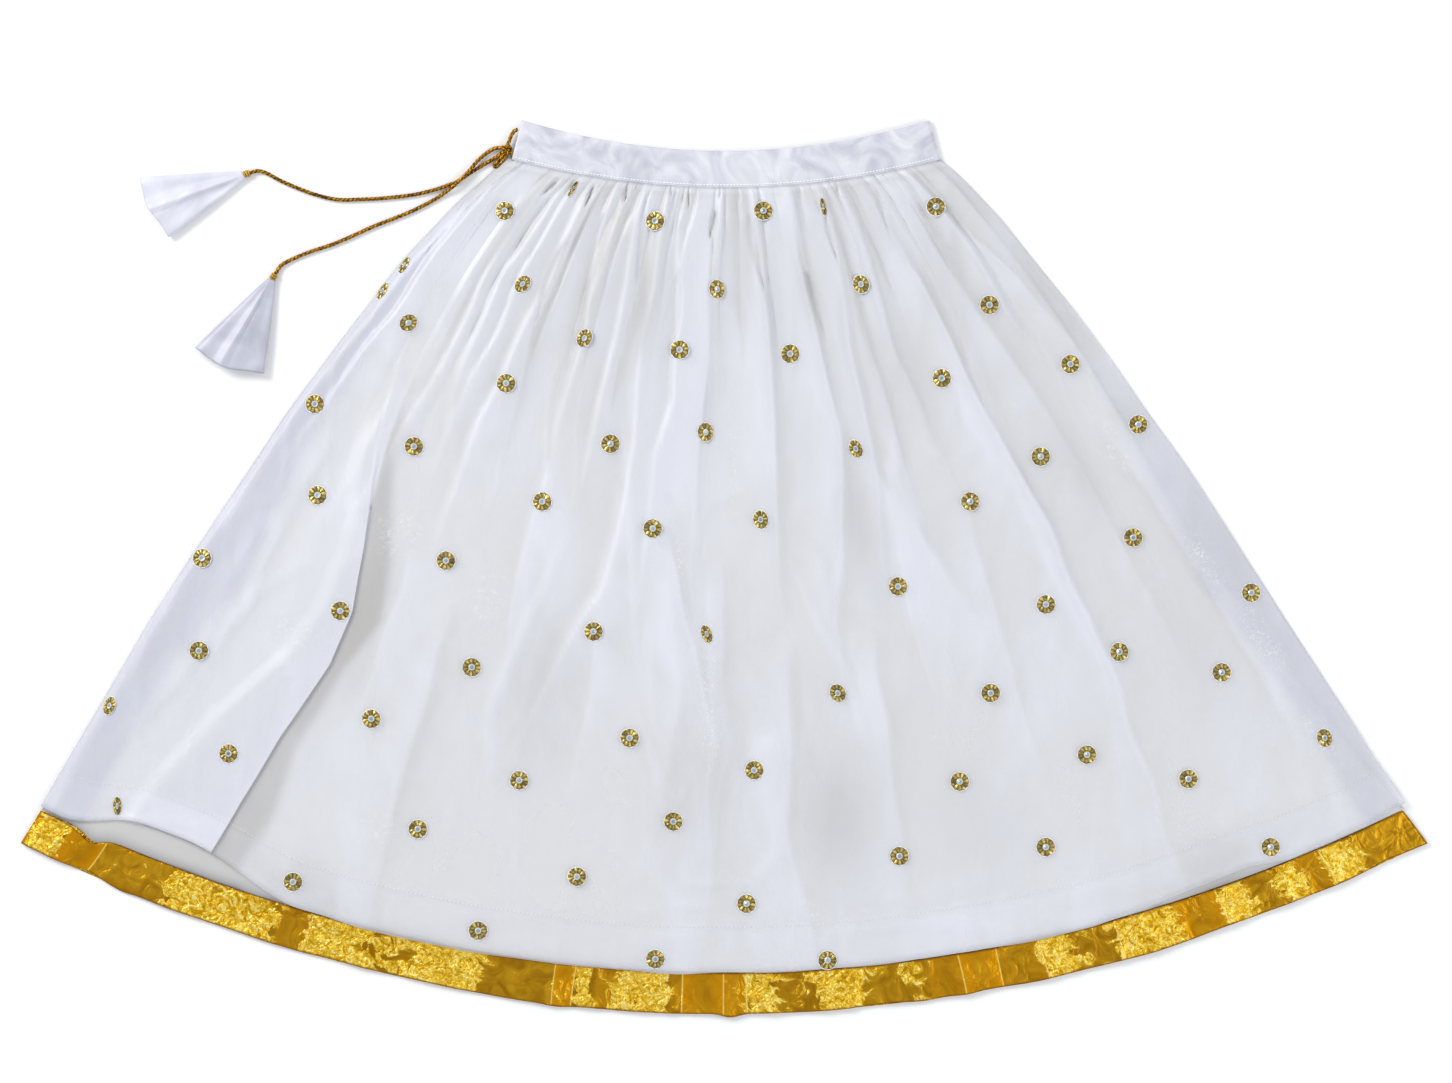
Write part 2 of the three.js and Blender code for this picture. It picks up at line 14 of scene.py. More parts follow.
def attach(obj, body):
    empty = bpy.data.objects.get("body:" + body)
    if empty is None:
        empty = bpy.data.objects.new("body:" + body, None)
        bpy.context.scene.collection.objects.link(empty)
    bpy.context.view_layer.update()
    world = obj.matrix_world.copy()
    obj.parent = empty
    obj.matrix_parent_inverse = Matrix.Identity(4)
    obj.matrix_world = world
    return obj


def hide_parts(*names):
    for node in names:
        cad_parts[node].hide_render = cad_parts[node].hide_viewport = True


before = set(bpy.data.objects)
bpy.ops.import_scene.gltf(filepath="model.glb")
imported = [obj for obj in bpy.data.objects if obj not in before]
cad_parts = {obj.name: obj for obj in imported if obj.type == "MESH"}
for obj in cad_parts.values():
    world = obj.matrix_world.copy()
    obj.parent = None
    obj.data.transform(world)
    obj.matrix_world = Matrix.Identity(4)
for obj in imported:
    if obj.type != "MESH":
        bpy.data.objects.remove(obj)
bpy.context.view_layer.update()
MM = 0.001

# ---------------------------------------------------------------- sizes shared with the solids
WALL, GAP = 1.0, 0.3
LAYER = WALL + GAP
LAID_LENGTH = 696
BAND_DEPTH, BAND_WALL = 31, 1.6
BAND_TOP_HALF, BAND_TOP_SAG = 159, 24
WAIST_HALF, WAIST_SAG = 167, 22
HEM_HALF, HEM_SAG = 548, 133
FLARE_POWER = 0.82
BORDER_DEPTH = 32
SIDE_DROP = 5

TOP_END = LAID_LENGTH / 2
SEAM_END = TOP_END - BAND_DEPTH
HEM_END = HEM_SAG - LAID_LENGTH / 2
CENTRE_LENGTH = SEAM_END - WAIST_SAG + LAID_LENGTH / 2
BORDER_START = 1 - BORDER_DEPTH / CENTRE_LENGTH
EDGE_SHARE = GAP / CENTRE_LENGTH

OVER_BACK = WALL / 2
UNDER_BACK = OVER_BACK + LAYER
UNDER_FRONT = UNDER_BACK + LAYER
OVER_FRONT = UNDER_FRONT + LAYER

# Down the side edges: how far inside them the underskirt lies, and how much the front drops to the back.
SIDE_ROWS = {
    "down": [0, 0.25, 0.55, 0.78, BORDER_START, 1],
    "inset": [8, 15, 27, 15, 2, 0],
    "drop": [1, 1, 1, 1, 0, 0],
}
# The deep fold on the left: its edge across, how far the cloth laps under it, how high it stands, and how
# far its shade falls.
LAP_ROWS = {
    "down": [0.0, 0.25, 0.38, 0.5, 0.58, 0.65, 0.76, 0.86, 1.0],
    "edge": [-0.86, -0.83, -0.785, -0.73, -0.703, -0.705, -0.736, -0.753, -0.772],
    "lap": [-12, -12, -5, 2.5, 13, 22, 40, 52, 60],
    "rise": [0.0, 0.9, 2.2, 2.6, 2.6, 2.6, 2.6, 2.6, 2.6],
    "shade": [0, 0, 6, 16, 18, 6, 10, 21, 17],
}
LAP_RAMP, LAP_CLEAR = 14, 4
LAP_RISE = 2.6  # how high the fold stands where it is whole
LAP_SHADE_FADE = 9
LAP_WHITENED = {"from": 90, "over": 170}  # the cloth whitens over this width, from so far outside the ramp
# Down the sides: how far they swing to the left.
SIDE_SWING = {
    "down": [0, 0.06, 0.2, 0.35, 0.6, 0.8, 0.95, 1.0],
    "shift": [0, -4.5, -5.5, -6.6, -6, -4.5, -3.5, -2],
}
# How the fold pulls the overskirt's hem up: whole left of one share across, gone right of the next, and let
# down again at the corner.
HEM_LIFT = {
    "whole": -0.8, "gone": -0.62, "high": 20, "power": 8,
    "corner": -0.87, "corner_share": 0.85, "corner_ramp": 0.1,
}

# ---------------------------------------------------------------- sizes of the finer forms
ORGANZA_THICK = 0.3
CREPE_THICK = 0.4
TISSUE_THICK = 0.35
CREASE_HALF = 0.0008  # half a border crease's width, as a share across
STRETCH_BLUR = 0.008  # how far a border stretch runs into the next, as a share across
SATIN_THICK = 0.7
VEIL = 0.27  # how much of what lies under it one face of the organza hides
HEM_TURN_START = 0.893  # the overskirt's hem is turned up this share of the length below the seam
SEAM_TUCK = 1.4  # how far the gathered edge reaches up under the band
BACK_TOP = 0.85  # height of the overskirt's back between its gathers
GLOW_REACH = 0.02  # how far a border stretch glows from its creases, as a share across

# Rows and columns of the panels' grids.
FRONT_ROWS, PANEL_ROWS = 118, 60
BACK_COLUMNS, LINING_COLUMNS, BORDER_COLUMNS, BORDER_BACK_COLUMNS = 300, 140, 460, 260

# Two sets of gathers: small ones pinched into the seam, and the wider folds that they run together into.
# gone is the range of shares down over which they fade, and closed the share of them with no dark wedge of
# painted shade.
GATHER_SETS = [
    {
        "count": 34, "tall": 2.6, "gone": (0.02, 0.06), "at_seam": 0.6, "grown": 0.02,
        "closed": 0.35, "seed": 4,
    },
    {
        "count": 15, "tall": 4.4, "gone": (0.16, 0.4), "at_seam": 0.25, "grown": 0.07,
        "closed": 0.1, "seed": 9,
    },
]
GATHER_DRIFT = [(5.3, 0.32, 0.6), (11.7, 0.2, 2.0), (3.1, 0.3, 4.0)]  # waves across, size in gathers, phase
GATHER_ROUND = 0.5  # power that fills a gather's arch: lower is flatter on top
# the wedge beside a gather is painted shade
WEDGE_WIDTH, WEDGE_LENGTH = 0.42, 0.75  # of a gather's width and of its length, for the dark wedge beside it
# Smaller folds strewn near the waist and low on the skirt: how many, and their height and two widths.
STRAY_PLEATS, LOW_PLEATS = 14, 14
STRAY_SIZE, LOW_SIZE = (3.4, 9, 2.6), (2.4, 26, 8)
RELIEF_LIMIT = 9.5
# Soft oval patches of the front: share across, share down, half width, half length and strength.
# First the broad dips where the cloth sinks on to the underskirt, darkened there with painted shade.
DIPS = [
    (0.19, 0.77, 30, 52, 1), (-0.24, 0.15, 7, 34, 0.8), (0.276, 0.127, 7, 26, 0.8),
    (0.8, 0.41, 13, 44, 0.7), (0.3, 0.42, 12, 56, 0.8), (-0.34, 0.62, 22, 60, 0.9),
    (-0.55, 0.25, 12, 60, 0.5), (0.52, 0.25, 20, 56, 0.45), (-0.05, 0.74, 26, 50, 0.5),
    (0.84, 0.66, 24, 70, 0.4), (0.42, 0.8, 34, 48, 0.4), (-0.66, 0.6, 24, 70, 0.45),
]
# Broad patches of painted light, where the cloth is painted lighter.
GLOWS = [
    (0.342, 0.9, 50, 44, 0.32), (-0.63, 0.53, 34, 56, 0.36), (0.649, 0.33, 40, 60, 0.34),
    (0.83, 0.74, 34, 60, 0.3), (0.52, 0.58, 36, 60, 0.34),
]
# Patches of small crinkles, with painted glints.
CRINKLED = [
    (-0.675, 0.466, 14, 20, 1), (-0.782, 0.622, 16, 14, 1), (-0.469, 0.526, 12, 24, 1),
    (-0.546, 0.831, 14, 16, 1), (0.128, 0.884, 18, 12, 1), (0.888, 0.398, 8, 24, 1),
    (0.931, 0.564, 8, 26, 1), (0.951, 0.685, 9, 34, 1), (0.941, 0.825, 12, 22, 1), (-0.1, 0.45, 4, 42, 1),
    (-0.03, 0.62, 9, 48, 1), (0.02, 0.33, 3, 40, 1),
]

# Soft folds of the front that have one crisp side: height, widths of the soft and the crisp flank, side
# (-1 where the crisp flank faces left), and the path in shares across and down.
PLEATS = [
    (3.4, 15, 4, 1, [(-0.79, 0.01), (-0.78, 0.09), (-0.79, 0.2), (-0.77, 0.3)]),
    (4.2, 11, 3, -1, [(-0.7, 0.01), (-0.69, 0.1), (-0.7, 0.2), (-0.66, 0.33)]),
    (4.6, 17, 4, -1, [(-0.58, 0.01), (-0.57, 0.13), (-0.6, 0.31), (-0.6, 0.5)]),
    (4.4, 15, 3.5, -1, [(-0.49, 0.0), (-0.45, 0.08), (-0.41, 0.18), (-0.42, 0.34)]),
    (4.0, 13, 3.5, -1, [(-0.36, 0.0), (-0.33, 0.08), (-0.31, 0.19), (-0.34, 0.4)]),
    (6.0, 26, 7, -1,
     [(-0.23, 0.03), (-0.23, 0.2), (-0.22, 0.31), (-0.25, 0.5), (-0.33, 0.64), (-0.38, 0.74)]),
    (4.8, 14, 4, -1, [(-0.17, 0.05), (-0.13, 0.17), (-0.13, 0.26), (-0.17, 0.33), (-0.18, 0.52)]),
    (4.0, 22, 5, 1, [(-0.14, 0.42), (-0.07, 0.55), (-0.03, 0.67), (-0.025, 0.86)]),
    (4.6, 15, 4, 1, [(-0.06, 0.03), (-0.06, 0.1), (-0.05, 0.2), (-0.08, 0.34), (-0.08, 0.48)]),
    (5.0, 22, 4.5, 1, [(0.09, 0.03), (0.1, 0.09), (0.12, 0.14), (0.115, 0.26), (0.1, 0.56)]),
    (3.0, 16, 5, 1, [(0.08, 0.66), (0.085, 0.76), (0.077, 0.86)]),
    (5.4, 22, 4, 1, [(0.28, 0.0), (0.26, 0.08), (0.28, 0.2), (0.29, 0.3), (0.21, 0.53), (0.205, 0.66)]),
    (4.6, 20, 4.5, 1, [(0.4, 0.03), (0.39, 0.1), (0.37, 0.2), (0.35, 0.35), (0.32, 0.46), (0.3, 0.54)]),
    (2.8, 26, 6, 1, [(0.33, 0.33), (0.44, 0.47), (0.5, 0.64)]),
    (5.6, 24, 5, 1,
     [(0.59, 0.0), (0.61, 0.09), (0.64, 0.2), (0.65, 0.32), (0.68, 0.46), (0.675, 0.7), (0.68, 0.97)]),
    (3.6, 19, 5, 1, [(0.76, 0.01), (0.725, 0.1), (0.75, 0.19), (0.79, 0.33), (0.8, 0.48)]),
    (2.6, 12, 4, 1, [(0.83, 0.03), (0.85, 0.1), (0.9, 0.16), (0.93, 0.3)]),
    (2.4, 15, 5, -1, [(0.9, 0.36), (0.92, 0.56), (0.93, 0.72), (0.92, 0.86)]),
    (2.2, 12, 4, 1, [(-0.93, 0.5), (-0.91, 0.68), (-0.93, 0.8), (-0.92, 0.9)]),
]

# The border's stretches from left to right: share across where each starts, how crushed it is (1 wholly,
# 0 smooth), how much painted orange glow it has, whether a painted bright crease marks its start, and how
# high it stands there.
BORDER_STRETCHES = [
    (-1.0, 0, 0.3, 0, 0.2), (-0.988, 1, 0, 0, 2.6), (-0.952, 0, 1, 0, 2.9), (-0.904, 0, 0.1, 1, 0.4),
    (-0.858, 0, 0, 0, 0.6), (-0.8, 1, 0, 0, 1.6), (-0.69, 0.72, 0, 0, 0.5), (-0.646, 0, 0.2, 0, 1.4),
    (-0.604, 1, 0, 1, 0.3), (-0.52, 0.62, 0, 0, 1.9), (-0.475, 0.35, 0, 0, 0.6), (-0.435, 1, 0, 0, 1.5),
    (-0.352, 0, 0, 0, 0.4), (-0.249, 0.1, 0.9, 1, 1.8), (-0.219, 0.9, 0, 1, 0.3),
    (-0.188, 0, 0.3, 0, 1.7), (-0.166, 0.85, 0, 0, 0.4), (-0.08, 0, 0.1, 0, 1.5),
    (-0.063, 0, 0.9, 1, 0.5), (-0.004, 0, 0.6, 1, 2.3), (0.03, 1, 0, 1, 0.5), (0.07, 0.3, 0, 0, 1.4),
    (0.108, 0.45, 0, 0, 0.5), (0.143, 0.9, 0, 0, 1.8), (0.2, 0.1, 0, 0, 0.4), (0.245, 0.4, 0, 0, 1.4),
    (0.296, 0, 0.5, 0, 0.4), (0.341, 0, 1, 1, 2.1), (0.394, 0, 0.4, 1, 0.6), (0.46, 1, 0, 1, 1.6),
    (0.5, 0.3, 0, 0, 0.5), (0.568, 0.92, 0, 1, 1.8), (0.655, 0, 0.9, 0, 0.6), (0.718, 1, 0, 1, 2.0),
    (0.763, 0, 0, 0, 0.5), (0.8, 0.95, 0, 0, 1.5), (0.84, 0, 0.4, 0, 0.4), (0.872, 0.95, 0, 1, 1.7),
    (0.9, 0.5, 0, 0, 0.5), (0.928, 0, 0, 0, 0.9),
]
# Where the border's lower edge dips: share across, half width and depth.
BORDER_WAVES = [
    (-0.905, 0.02, -3.0), (-0.86, 0.02, 2.0), (-0.6, 0.03, 1.2), (-0.24, 0.03, 1.8), (0.007, 0.016, 2.8),
    (0.285, 0.03, 1.8), (0.34, 0.02, 1.4), (0.62, 0.04, 1.2),
]
# Where the overskirt's hem rides up off the border: share across and rise.
HEM_RISE = {"across": [0.54, 0.68, 0.77, 0.826, 0.94, 0.985, 1.0], "rise": [0, 6, 7, 2.5, 2, 5, 5]}

# Where the lining shows between the overskirt's hem and the border, darkened with painted shade, in
# millimetres.
BARE_LINING = {"left_end": -330, "left_fade": 80, "right_at": 385, "right_wide": 50}

# Creases that cross the folds, raised and painted with a highlight: height, half width, and the points they
# run through in millimetres.
CREASE_LINES = [
    (1.0, 3.5, [(-68, -112), (-51, -168), (-37, -182), (-29, -165)]),
    (1.1, 4, [(-29, -243), (-12, -246), (23, -243), (41, -216), (44, -190), (50, -104)]),
    (1.1, 3.5, [(49, 9), (75, -51), (92, -78), (110, -138)]),
    (0.9, 3, [(-12, 0), (-9, -151)]),
    (1.4, 5, [(-114, 44), (-153, -41), (-183, -112), (-183, -168)]),
    (0.8, 3.5, [(-98, -279), (-51, -264), (-5, -260), (27, -254)]),
    (0.8, 4, [(-83, -295), (-20, -279), (50, -264)]),
    (1.1, 3, [(-81, 130), (-74, 40), (-70, -73)]),
    (0.8, 4, [(-352, -60), (-330, -90), (-342, -140)]),
    (1.1, 4, [(-311, 11), (-363, -20), (-389, -52), (-395, -83)]),
    (0.9, 4, [(300, 60), (345, -10), (362, -70)]),
]
# Spindle-shaped gaps between gathers, sunk and darkened with painted shade: top x and y, foot x and y, half
# width (millimetres), and depth.
SPINDLES = [
    (-130, 301, -143, 290, 3, 1), (-148, 306, -151, 300, 1.5, 0.8), (-118, 306, -121, 290, 1.4, 0.7),
    (-103, 296, -108, 283, 2.6, 0.9), (-87, 304, -88, 298, 1.2, 0.8), (-76.6, 298, -78.4, 284, 2, 0.9),
    (-69, 301, -69.5, 295, 1.2, 0.7), (-43, 296, -43, 289, 1.3, 0.7), (-29, 293, -29, 282, 1.7, 0.9),
    (-8, 277, -13, 256, 4, 0.8), (-4.7, 293, -5, 287, 1.2, 0.7), (10, 293, 11, 284, 1.4, 0.7),
    (18, 272, 29, 217, 5.5, 0.6), (57.5, 300, 58, 288, 1.5, 0.8), (63, 229, 78, 177, 5, 0.75),
    (77, 273, 87, 237, 3.6, 0.7), (85, 302, 87.4, 290, 2.3, 0.8), (117, 294, 126, 264, 3.6, 0.6),
    (123, 309, 124, 301, 1.3, 0.8), (130, 312, 137, 303, 1.3, 0.7), (-94, 272, -106, 218, 6, 0.4),
    (-137, 286, -176, 212, 7, 0.35), (-122, 252, -147, 194, 7, 0.45), (-62, 288, -70, 220, 3.5, 0.4),
    (-37, 227, -39, 176, 6, 0.45), (126, 266, 158, 220, 8, 0.35),
]
# a fold's lip is a painted highlight along its crisp flank
LIP_FROM, LIP_WIDTH = 3.9, 1.6  # folds at least this high have a bright lip so wide along the crisp flank
SEAM_DOUBLED = 0.006  # share down as far as which the seam's doubled cloth shows white
EDGE_SOFT = 0.9  # how sharply the tone changes at a fold's crisp edge
# Width of the strip down each side where the cloth is doubled and painted dimmer with shade.
TURNED_SIDE = {"down": [0, 0.37, 0.49, 0.58, 0.71, 0.84, 0.95], "wide": [8, 21, 28, 38, 27, 26, 28]}

# Sequin flowers of the front: the places of those that lie flat, then those on the flank of a fold.
FLOWER_RADIUS, PETAL_INNER, PETALS = 7.3, 2.5, 11
FLOWERS = [
    (-172, 277), (-55, 269), (29, 277), (163, 280), (205, 204), (-36, 169), (50, 166), (268, 158),
    (-171, 143), (168, 147), (-320, 127), (321, 111), (-243, 94), (-90, 96), (245, 86), (-318, 56),
    (-143, 51), (-57, 30), (190, 51), (-408, 7), (-218, 5), (134, -15), (317, 23), (-300, -34),
    (-103, -50), (249, -29), (409, -20), (-410, -65), (-198, -78), (306, -66), (386, -82), (-276, -118),
    (-75, -133), (206, -98), (-387, -145), (-161, -166), (22, -158), (281, -146), (-240, -204),
    (-41, -198), (182, -167), (360, -165), (-337, -245), (-116, -241), (135, -225), (249, -218),
    (424, -218), (-193, -283), (16, -262), (-55, -305), (79, -306),
]
TURNED_FLOWERS = [
    # place, share of its width that still shows, bearing in degrees of the way it is narrowed
    (-158, 220, 0.72, 140), (-7, 216, 0.85, 10), (105, 220, 0.86, 20), (-247, 190, 0.86, 130),
    (-110, 178, 0.78, 150), (-16, 105, 0.88, 10), (101, 92, 0.7, 25), (27, 37, 0.8, 10),
    (-15, -52, 0.55, 20), (87, -98, 0.82, 30), (-480, -108, 0.65, 160), (466, -133, 0.8, 20),
    (75.7, 280, 0.3, 12), (-119, 294, 0.25, 150), (-267.5, 215, 0.45, 150), (-250.5, 235, 0.4, 150),
    (-474, -186, 0.45, 0),
]
DISC_RINGS = (3.5, 6.5)  # rings round a flower's middle at which the cloth under it is felt
MOST_RAISED = 0.0016  # metres that a flower is raised at most to clear the cloth
BACK_FLOWER_STEP = 66  # pitch of the half-drop lattice on the hidden side
BACK_FLOWER_HEIGHT, BACK_FLOWER_PRESSED = 0.64, 0.27

# ---------------------------------------------------------------- drawstring and tassels
CORD_RADIUS = 1.5
CORD_REST = CORD_RADIUS + 0.1
KNOT_AT = (-170.6, 325.2, 4.2)
BEAD_RADIUS = 2.9
LOWER_ROUTE = [
    (-162.1, 341.0, 4.1), (-164.8, 339.6, 4.3), (-167.6, 335.4, 4.4), (-169.4, 330.4, 4.3),
    (-171.2, 327.4, 4.2), (-174.9, 326.8, 3.4), (-180.2, 326.2, 2.2), (-186.4, 322.9, 1.7),
    (-193.4, 316.7, 2.8), (-199.7, 308.9, 4.9), (-205.9, 302.6, 5.1), (-212.2, 296.8, 4.5),
    (-219.2, 291.7, 2.5), (-226.0, 287.2, CORD_REST), (-242.6, 278.5, CORD_REST),
    (-258.4, 271.9, CORD_REST), (-274.6, 265.6, CORD_REST), (-290.0, 258.6, CORD_REST),
    (-305.8, 251.9, CORD_REST), (-326.4, 244.9, CORD_REST), (-340.9, 238.6, CORD_REST),
    (-347.1, 234.8, 2.0), (-351.1, 228.5, 2.4),
]
UPPER_ROUTE = [
    (-165.6, 318.2, 2.6), (-166.6, 321.6, 3.2), (-168.6, 324.0, 3.4), (-171.6, 323.9, 3.0),
    (-174.9, 322.4, 2.6), (-180.6, 318.6, CORD_REST), (-190.3, 312.8, CORD_REST), (-200.0, 306.9, CORD_REST),
    (-210.6, 299.9, CORD_REST), (-216.1, 297.9, CORD_REST), (-225.8, 294.5, CORD_REST),
    (-242.6, 290.4, CORD_REST), (-268.3, 287.4, CORD_REST), (-285.0, 286.6, CORD_REST),
    (-301.1, 286.3, CORD_REST), (-314.0, 288.6, CORD_REST), (-326.4, 292.5, CORD_REST),
    (-347.1, 301.1, CORD_REST), (-358.8, 307.3, CORD_REST), (-365.0, 308.8, 2.0), (-370.8, 307.3, 2.4),
]
LOOP_ROUTE = [
    (-170.6, 322.6, 3.4), (-172.4, 318.6, 2.2), (-175.6, 314.8, CORD_REST), (-179.0, 311.6, CORD_REST),
    (-181.0, 312.4, CORD_REST), (-178.6, 315.8, CORD_REST), (-174.6, 320.0, 2.2), (-171.6, 323.6, 3.6),
]
# Each tassel's tip and the two corners of its mouth, its height, its rim's bow and the place of its fold.
TASSELS = {
    "upper": {
        "tip": (-375.9, 305.6), "left": (-457.6, 303.6), "right": (-434.0, 256.8),
        "high": 9, "bow": 3, "fold": 0.12,
    },
    "lower": {
        "tip": (-354.1, 223.9), "left": (-414.0, 170.2), "right": (-359.8, 150.6),
        "high": 11, "bow": 5, "fold": -0.1,
    },
}
TASSEL_TIP_RADIUS, TASSEL_SKIN, TASSEL_SIDES = 3.2, 0.6, 72

# The drawstring's twist, in three strands, and the spacing of the points along its pieces.
STRANDS, CORD_SIDES = 3, 18
TWIST_PITCH, SMALL_PITCH = 10.0, 7
ROUTE_STEP = 0.8
KNOT_CORD_RADIUS, LOOP_CORD_RADIUS = 1.25, 1.2

# Stitches: spacing, length and thickness.
BAND_STITCH = (2.6, 2.3, 0.85)
HEM_STITCH = (3.4, 2.6, 0.3)

# The waistband's rows down it, its columns across, and the row and columns that its stitches follow.
BAND_ROWS, BAND_COLUMNS = 26, 220
STITCH_ROW, STITCH_COLUMNS = 23, slice(2, 218)


# ---------------------------------------------------------------- small maths
def mix(a, b, share):
    return a + (b - a) * share


def ease(value):
    v = np.clip(value, 0, 1)
    return v * v * (3 - 2 * v)


def at_share(table, column, down):
    return np.interp(down, table["down"], table[column])


def soft_noise(x, y, cell, seed):
    """Smooth random values from -1 to 1 that change over about one cell."""
    lattice = np.random.default_rng(seed).uniform(-1, 1, (128, 128))
    u, v = x / cell + 40, y / cell + 40
    i, j = np.floor(u).astype(int), np.floor(v).astype(int)
    fu, fv = ease(u - i), ease(v - j)

    def row(b):
        return mix(lattice[i % 128, b % 128], lattice[(i + 1) % 128, b % 128], fu)

    return mix(row(j), row(j + 1), fv)


def crease_noise(x, y, cell, seed):
    """Thin ridges, 1 along their crests and near 0 between them."""
    bent_x = x + 0.35 * cell * soft_noise(x, y, cell, seed + 1)
    return (1 - np.abs(soft_noise(bent_x, y, cell, seed))) ** 6


def half_width(down):
    return WAIST_HALF + (HEM_HALF - WAIST_HALF) * np.clip(down, 0, 1) ** FLARE_POWER


def row_y(across, down):
    sag = mix(WAIST_SAG, HEM_SAG, down)
    return mix(SEAM_END, HEM_END, down) - sag * (1 - across * across)


def pulled_up(across, down):
    """The share down that a point of the overskirt is pulled up to by the deep fold, most at the hem."""
    reach = (across - HEM_LIFT["whole"]) / (HEM_LIFT["gone"] - HEM_LIFT["whole"])
    let_down = ease((HEM_LIFT["corner"] - across) / HEM_LIFT["corner_ramp"])
    corner = 1 - HEM_LIFT["corner_share"] * let_down
    pull = (1 - ease(reach)) * corner * (down / BORDER_START) ** HEM_LIFT["power"]
    return down - HEM_LIFT["high"] * pull / (SEAM_END - HEM_END)


# ---------------------------------------------------------------- relief of the overskirt
def gather_relief(across, down, gathers):
    """Rounded gathers, each with its own height, length and lean, and the dark wedges of painted shade
    between them.
    """
    random = np.random.default_rng(gathers["seed"])
    count = gathers["count"]
    made = count + 6  # a few more than fit, because the drift shifts them
    high = random.uniform(0.55, 1.3, made)
    gone = random.uniform(*gathers["gone"], made)
    lean = random.uniform(-1, 1, made)
    open_side = random.uniform(0, 1, made) > gathers["closed"]
    share = (across + 1) / 2
    phase = count * share + sum(size * np.sin(2 * np.pi * w * share + at) for w, size, at in GATHER_DRIFT) + 2
    number = np.clip(np.floor(phase).astype(int), 0, made - 1)
    part = np.clip(phase - number, 0, 1)
    bump = np.sin(np.pi * part ** (2 ** lean[number])) ** GATHER_ROUND
    swell = mix(gathers["at_seam"], 1, ease(down / gathers["grown"]))
    fade = 1 - ease((down - 0.03) / gone[number])
    along = np.clip(down / (WEDGE_LENGTH * gone[number]), 0, 1)
    opened = WEDGE_WIDTH * high[number] * np.sin(np.pi * mix(0.1, 1, along) ** 0.6)
    beside = np.where(lean[number] > 0, part, 1 - part)
    # painted shade in a wedge beside each open gather
    wedge = ease(1 - beside / np.maximum(opened, 0.02)) * ease(opened / 0.1) * open_side[number]
    return gathers["tall"] * high[number] * bump * swell * fade, wedge


def patches(table, across, down, half):
    """Soft oval patches: each one's strength at its middle, and 0 well away from them all."""
    total = np.zeros_like(across)
    for at_across, at_down, wide, long, strength in table:
        off = ((across - at_across) * half / wide) ** 2 + ((down - at_down) * CENTRE_LENGTH / long) ** 2
        total = np.maximum(total, strength * np.exp(-off))
    return total


def strewn_pleats():
    """The small folds that come and go between the long ones, near the waist and then low on the skirt."""
    random = np.random.default_rng(61)
    made = []
    for number in range(STRAY_PLEATS + LOW_PLEATS):
        low = number >= STRAY_PLEATS
        share = (number - STRAY_PLEATS) / LOW_PLEATS if low else number / STRAY_PLEATS
        place = mix(-0.93, 0.93, share) + random.uniform(-0.03, 0.03)
        top = random.uniform(0.3, 0.55) if low else 0.0
        length = random.uniform(0.3, 0.5) if low else random.uniform(0.2, 0.5)
        drift = random.uniform(-0.03, 0.03)
        path = [(place, top), (place + drift, top + length / 2), (place - drift / 2, min(top + length, 0.97))]
        scale = random.uniform(0.6, 1.3)
        high, soft, crisp = (size * scale for size in (LOW_SIZE if low else STRAY_SIZE))
        made.append((high, soft, crisp, random.choice([-1, 1]), path))
    return made


ALL_PLEATS = PLEATS + strewn_pleats()


def pleat_relief(across, down, half):
    """The folds' height, the painted shade beside their crisp edges, their double cloth painted lighter, and
    their painted bright lips.
    """
    total, hollow, panel, lip = (np.zeros_like(across) for part in range(4))
    for high, soft, crisp, side, path in ALL_PLEATS:
        places, downs = zip(*path)
        along = (down - downs[0]) / (downs[-1] - downs[0])
        if not 0 < along < 1:
            continue
        off = (across - np.interp(down, downs, places)) * half * side
        spread = mix(0.7, 1.3, along)
        width = np.where(off > 0, crisp * spread, soft * spread)
        swell = math.sin(math.pi * along**0.6) ** 0.7
        total += high * swell * np.exp(-((off / width) ** 2))
        past = off - 0.6 * crisp * spread
        over = 1 / (1 + np.exp(np.clip(past / EDGE_SOFT, -30, 30)))
        reach = 1.3 * soft * mix(0.9, 0.6, along)
        # painted shade beside the crisp edge, and painted light on the doubled panel over it
        beside = (1 - over) * np.exp(-np.maximum(past, 0) / reach) * swell
        hollow = np.maximum(hollow, beside * mix(0.85, 0.4, ease(down / 0.5)) * min(1, high / 4))
        panel = np.maximum(panel, over * np.exp(np.minimum(past, 0) / (2.6 * soft)) * swell)
        if high > LIP_FROM:
            lip = np.maximum(lip, 0.5 * swell * np.exp(-(((past + EDGE_SOFT) / LIP_WIDTH) ** 2)))
    return total, hollow, panel, lip


def line_place(x, y, start, end):
    """How far along a line each place lies, from 0 to 1, and how far away from it."""
    run = np.subtract(end, start)
    along = np.clip(((x - start[0]) * run[0] + (y - start[1]) * run[1]) / (run @ run), 0, 1)
    return along, np.hypot(x - start[0] - along * run[0], y - start[1] - along * run[1])


def crease_relief(x, y):
    """Ridges along the crease lines that cross the folds, tapered to their ends."""
    total = np.zeros_like(x)
    for high, wide, points in CREASE_LINES:
        for number, (start, end) in enumerate(zip(points, points[1:])):
            along, off = line_place(x, y, start, end)
            taper = np.sin(np.pi * np.clip((number + along) / (len(points) - 1), 0.02, 0.98)) ** 0.5
            total = np.maximum(total, high * taper * np.exp(-((off / wide) ** 2)))
    return total


def spindle_gaps(x, y):
    """How deep each place lies in one of the spindle-shaped gaps: how far it sinks and how much painted shade
    it gets.
    """
    total = np.zeros_like(x)
    for top_x, top_y, foot_x, foot_y, wide, deep in SPINDLES:
        along, off = line_place(x, y, (top_x, top_y), (foot_x, foot_y))
        reach = wide * np.sin(np.pi * mix(0.06, 0.97, along) ** 0.75)
        total = np.maximum(total, deep * ease(1.4 * (1 - off / reach)))
    return total


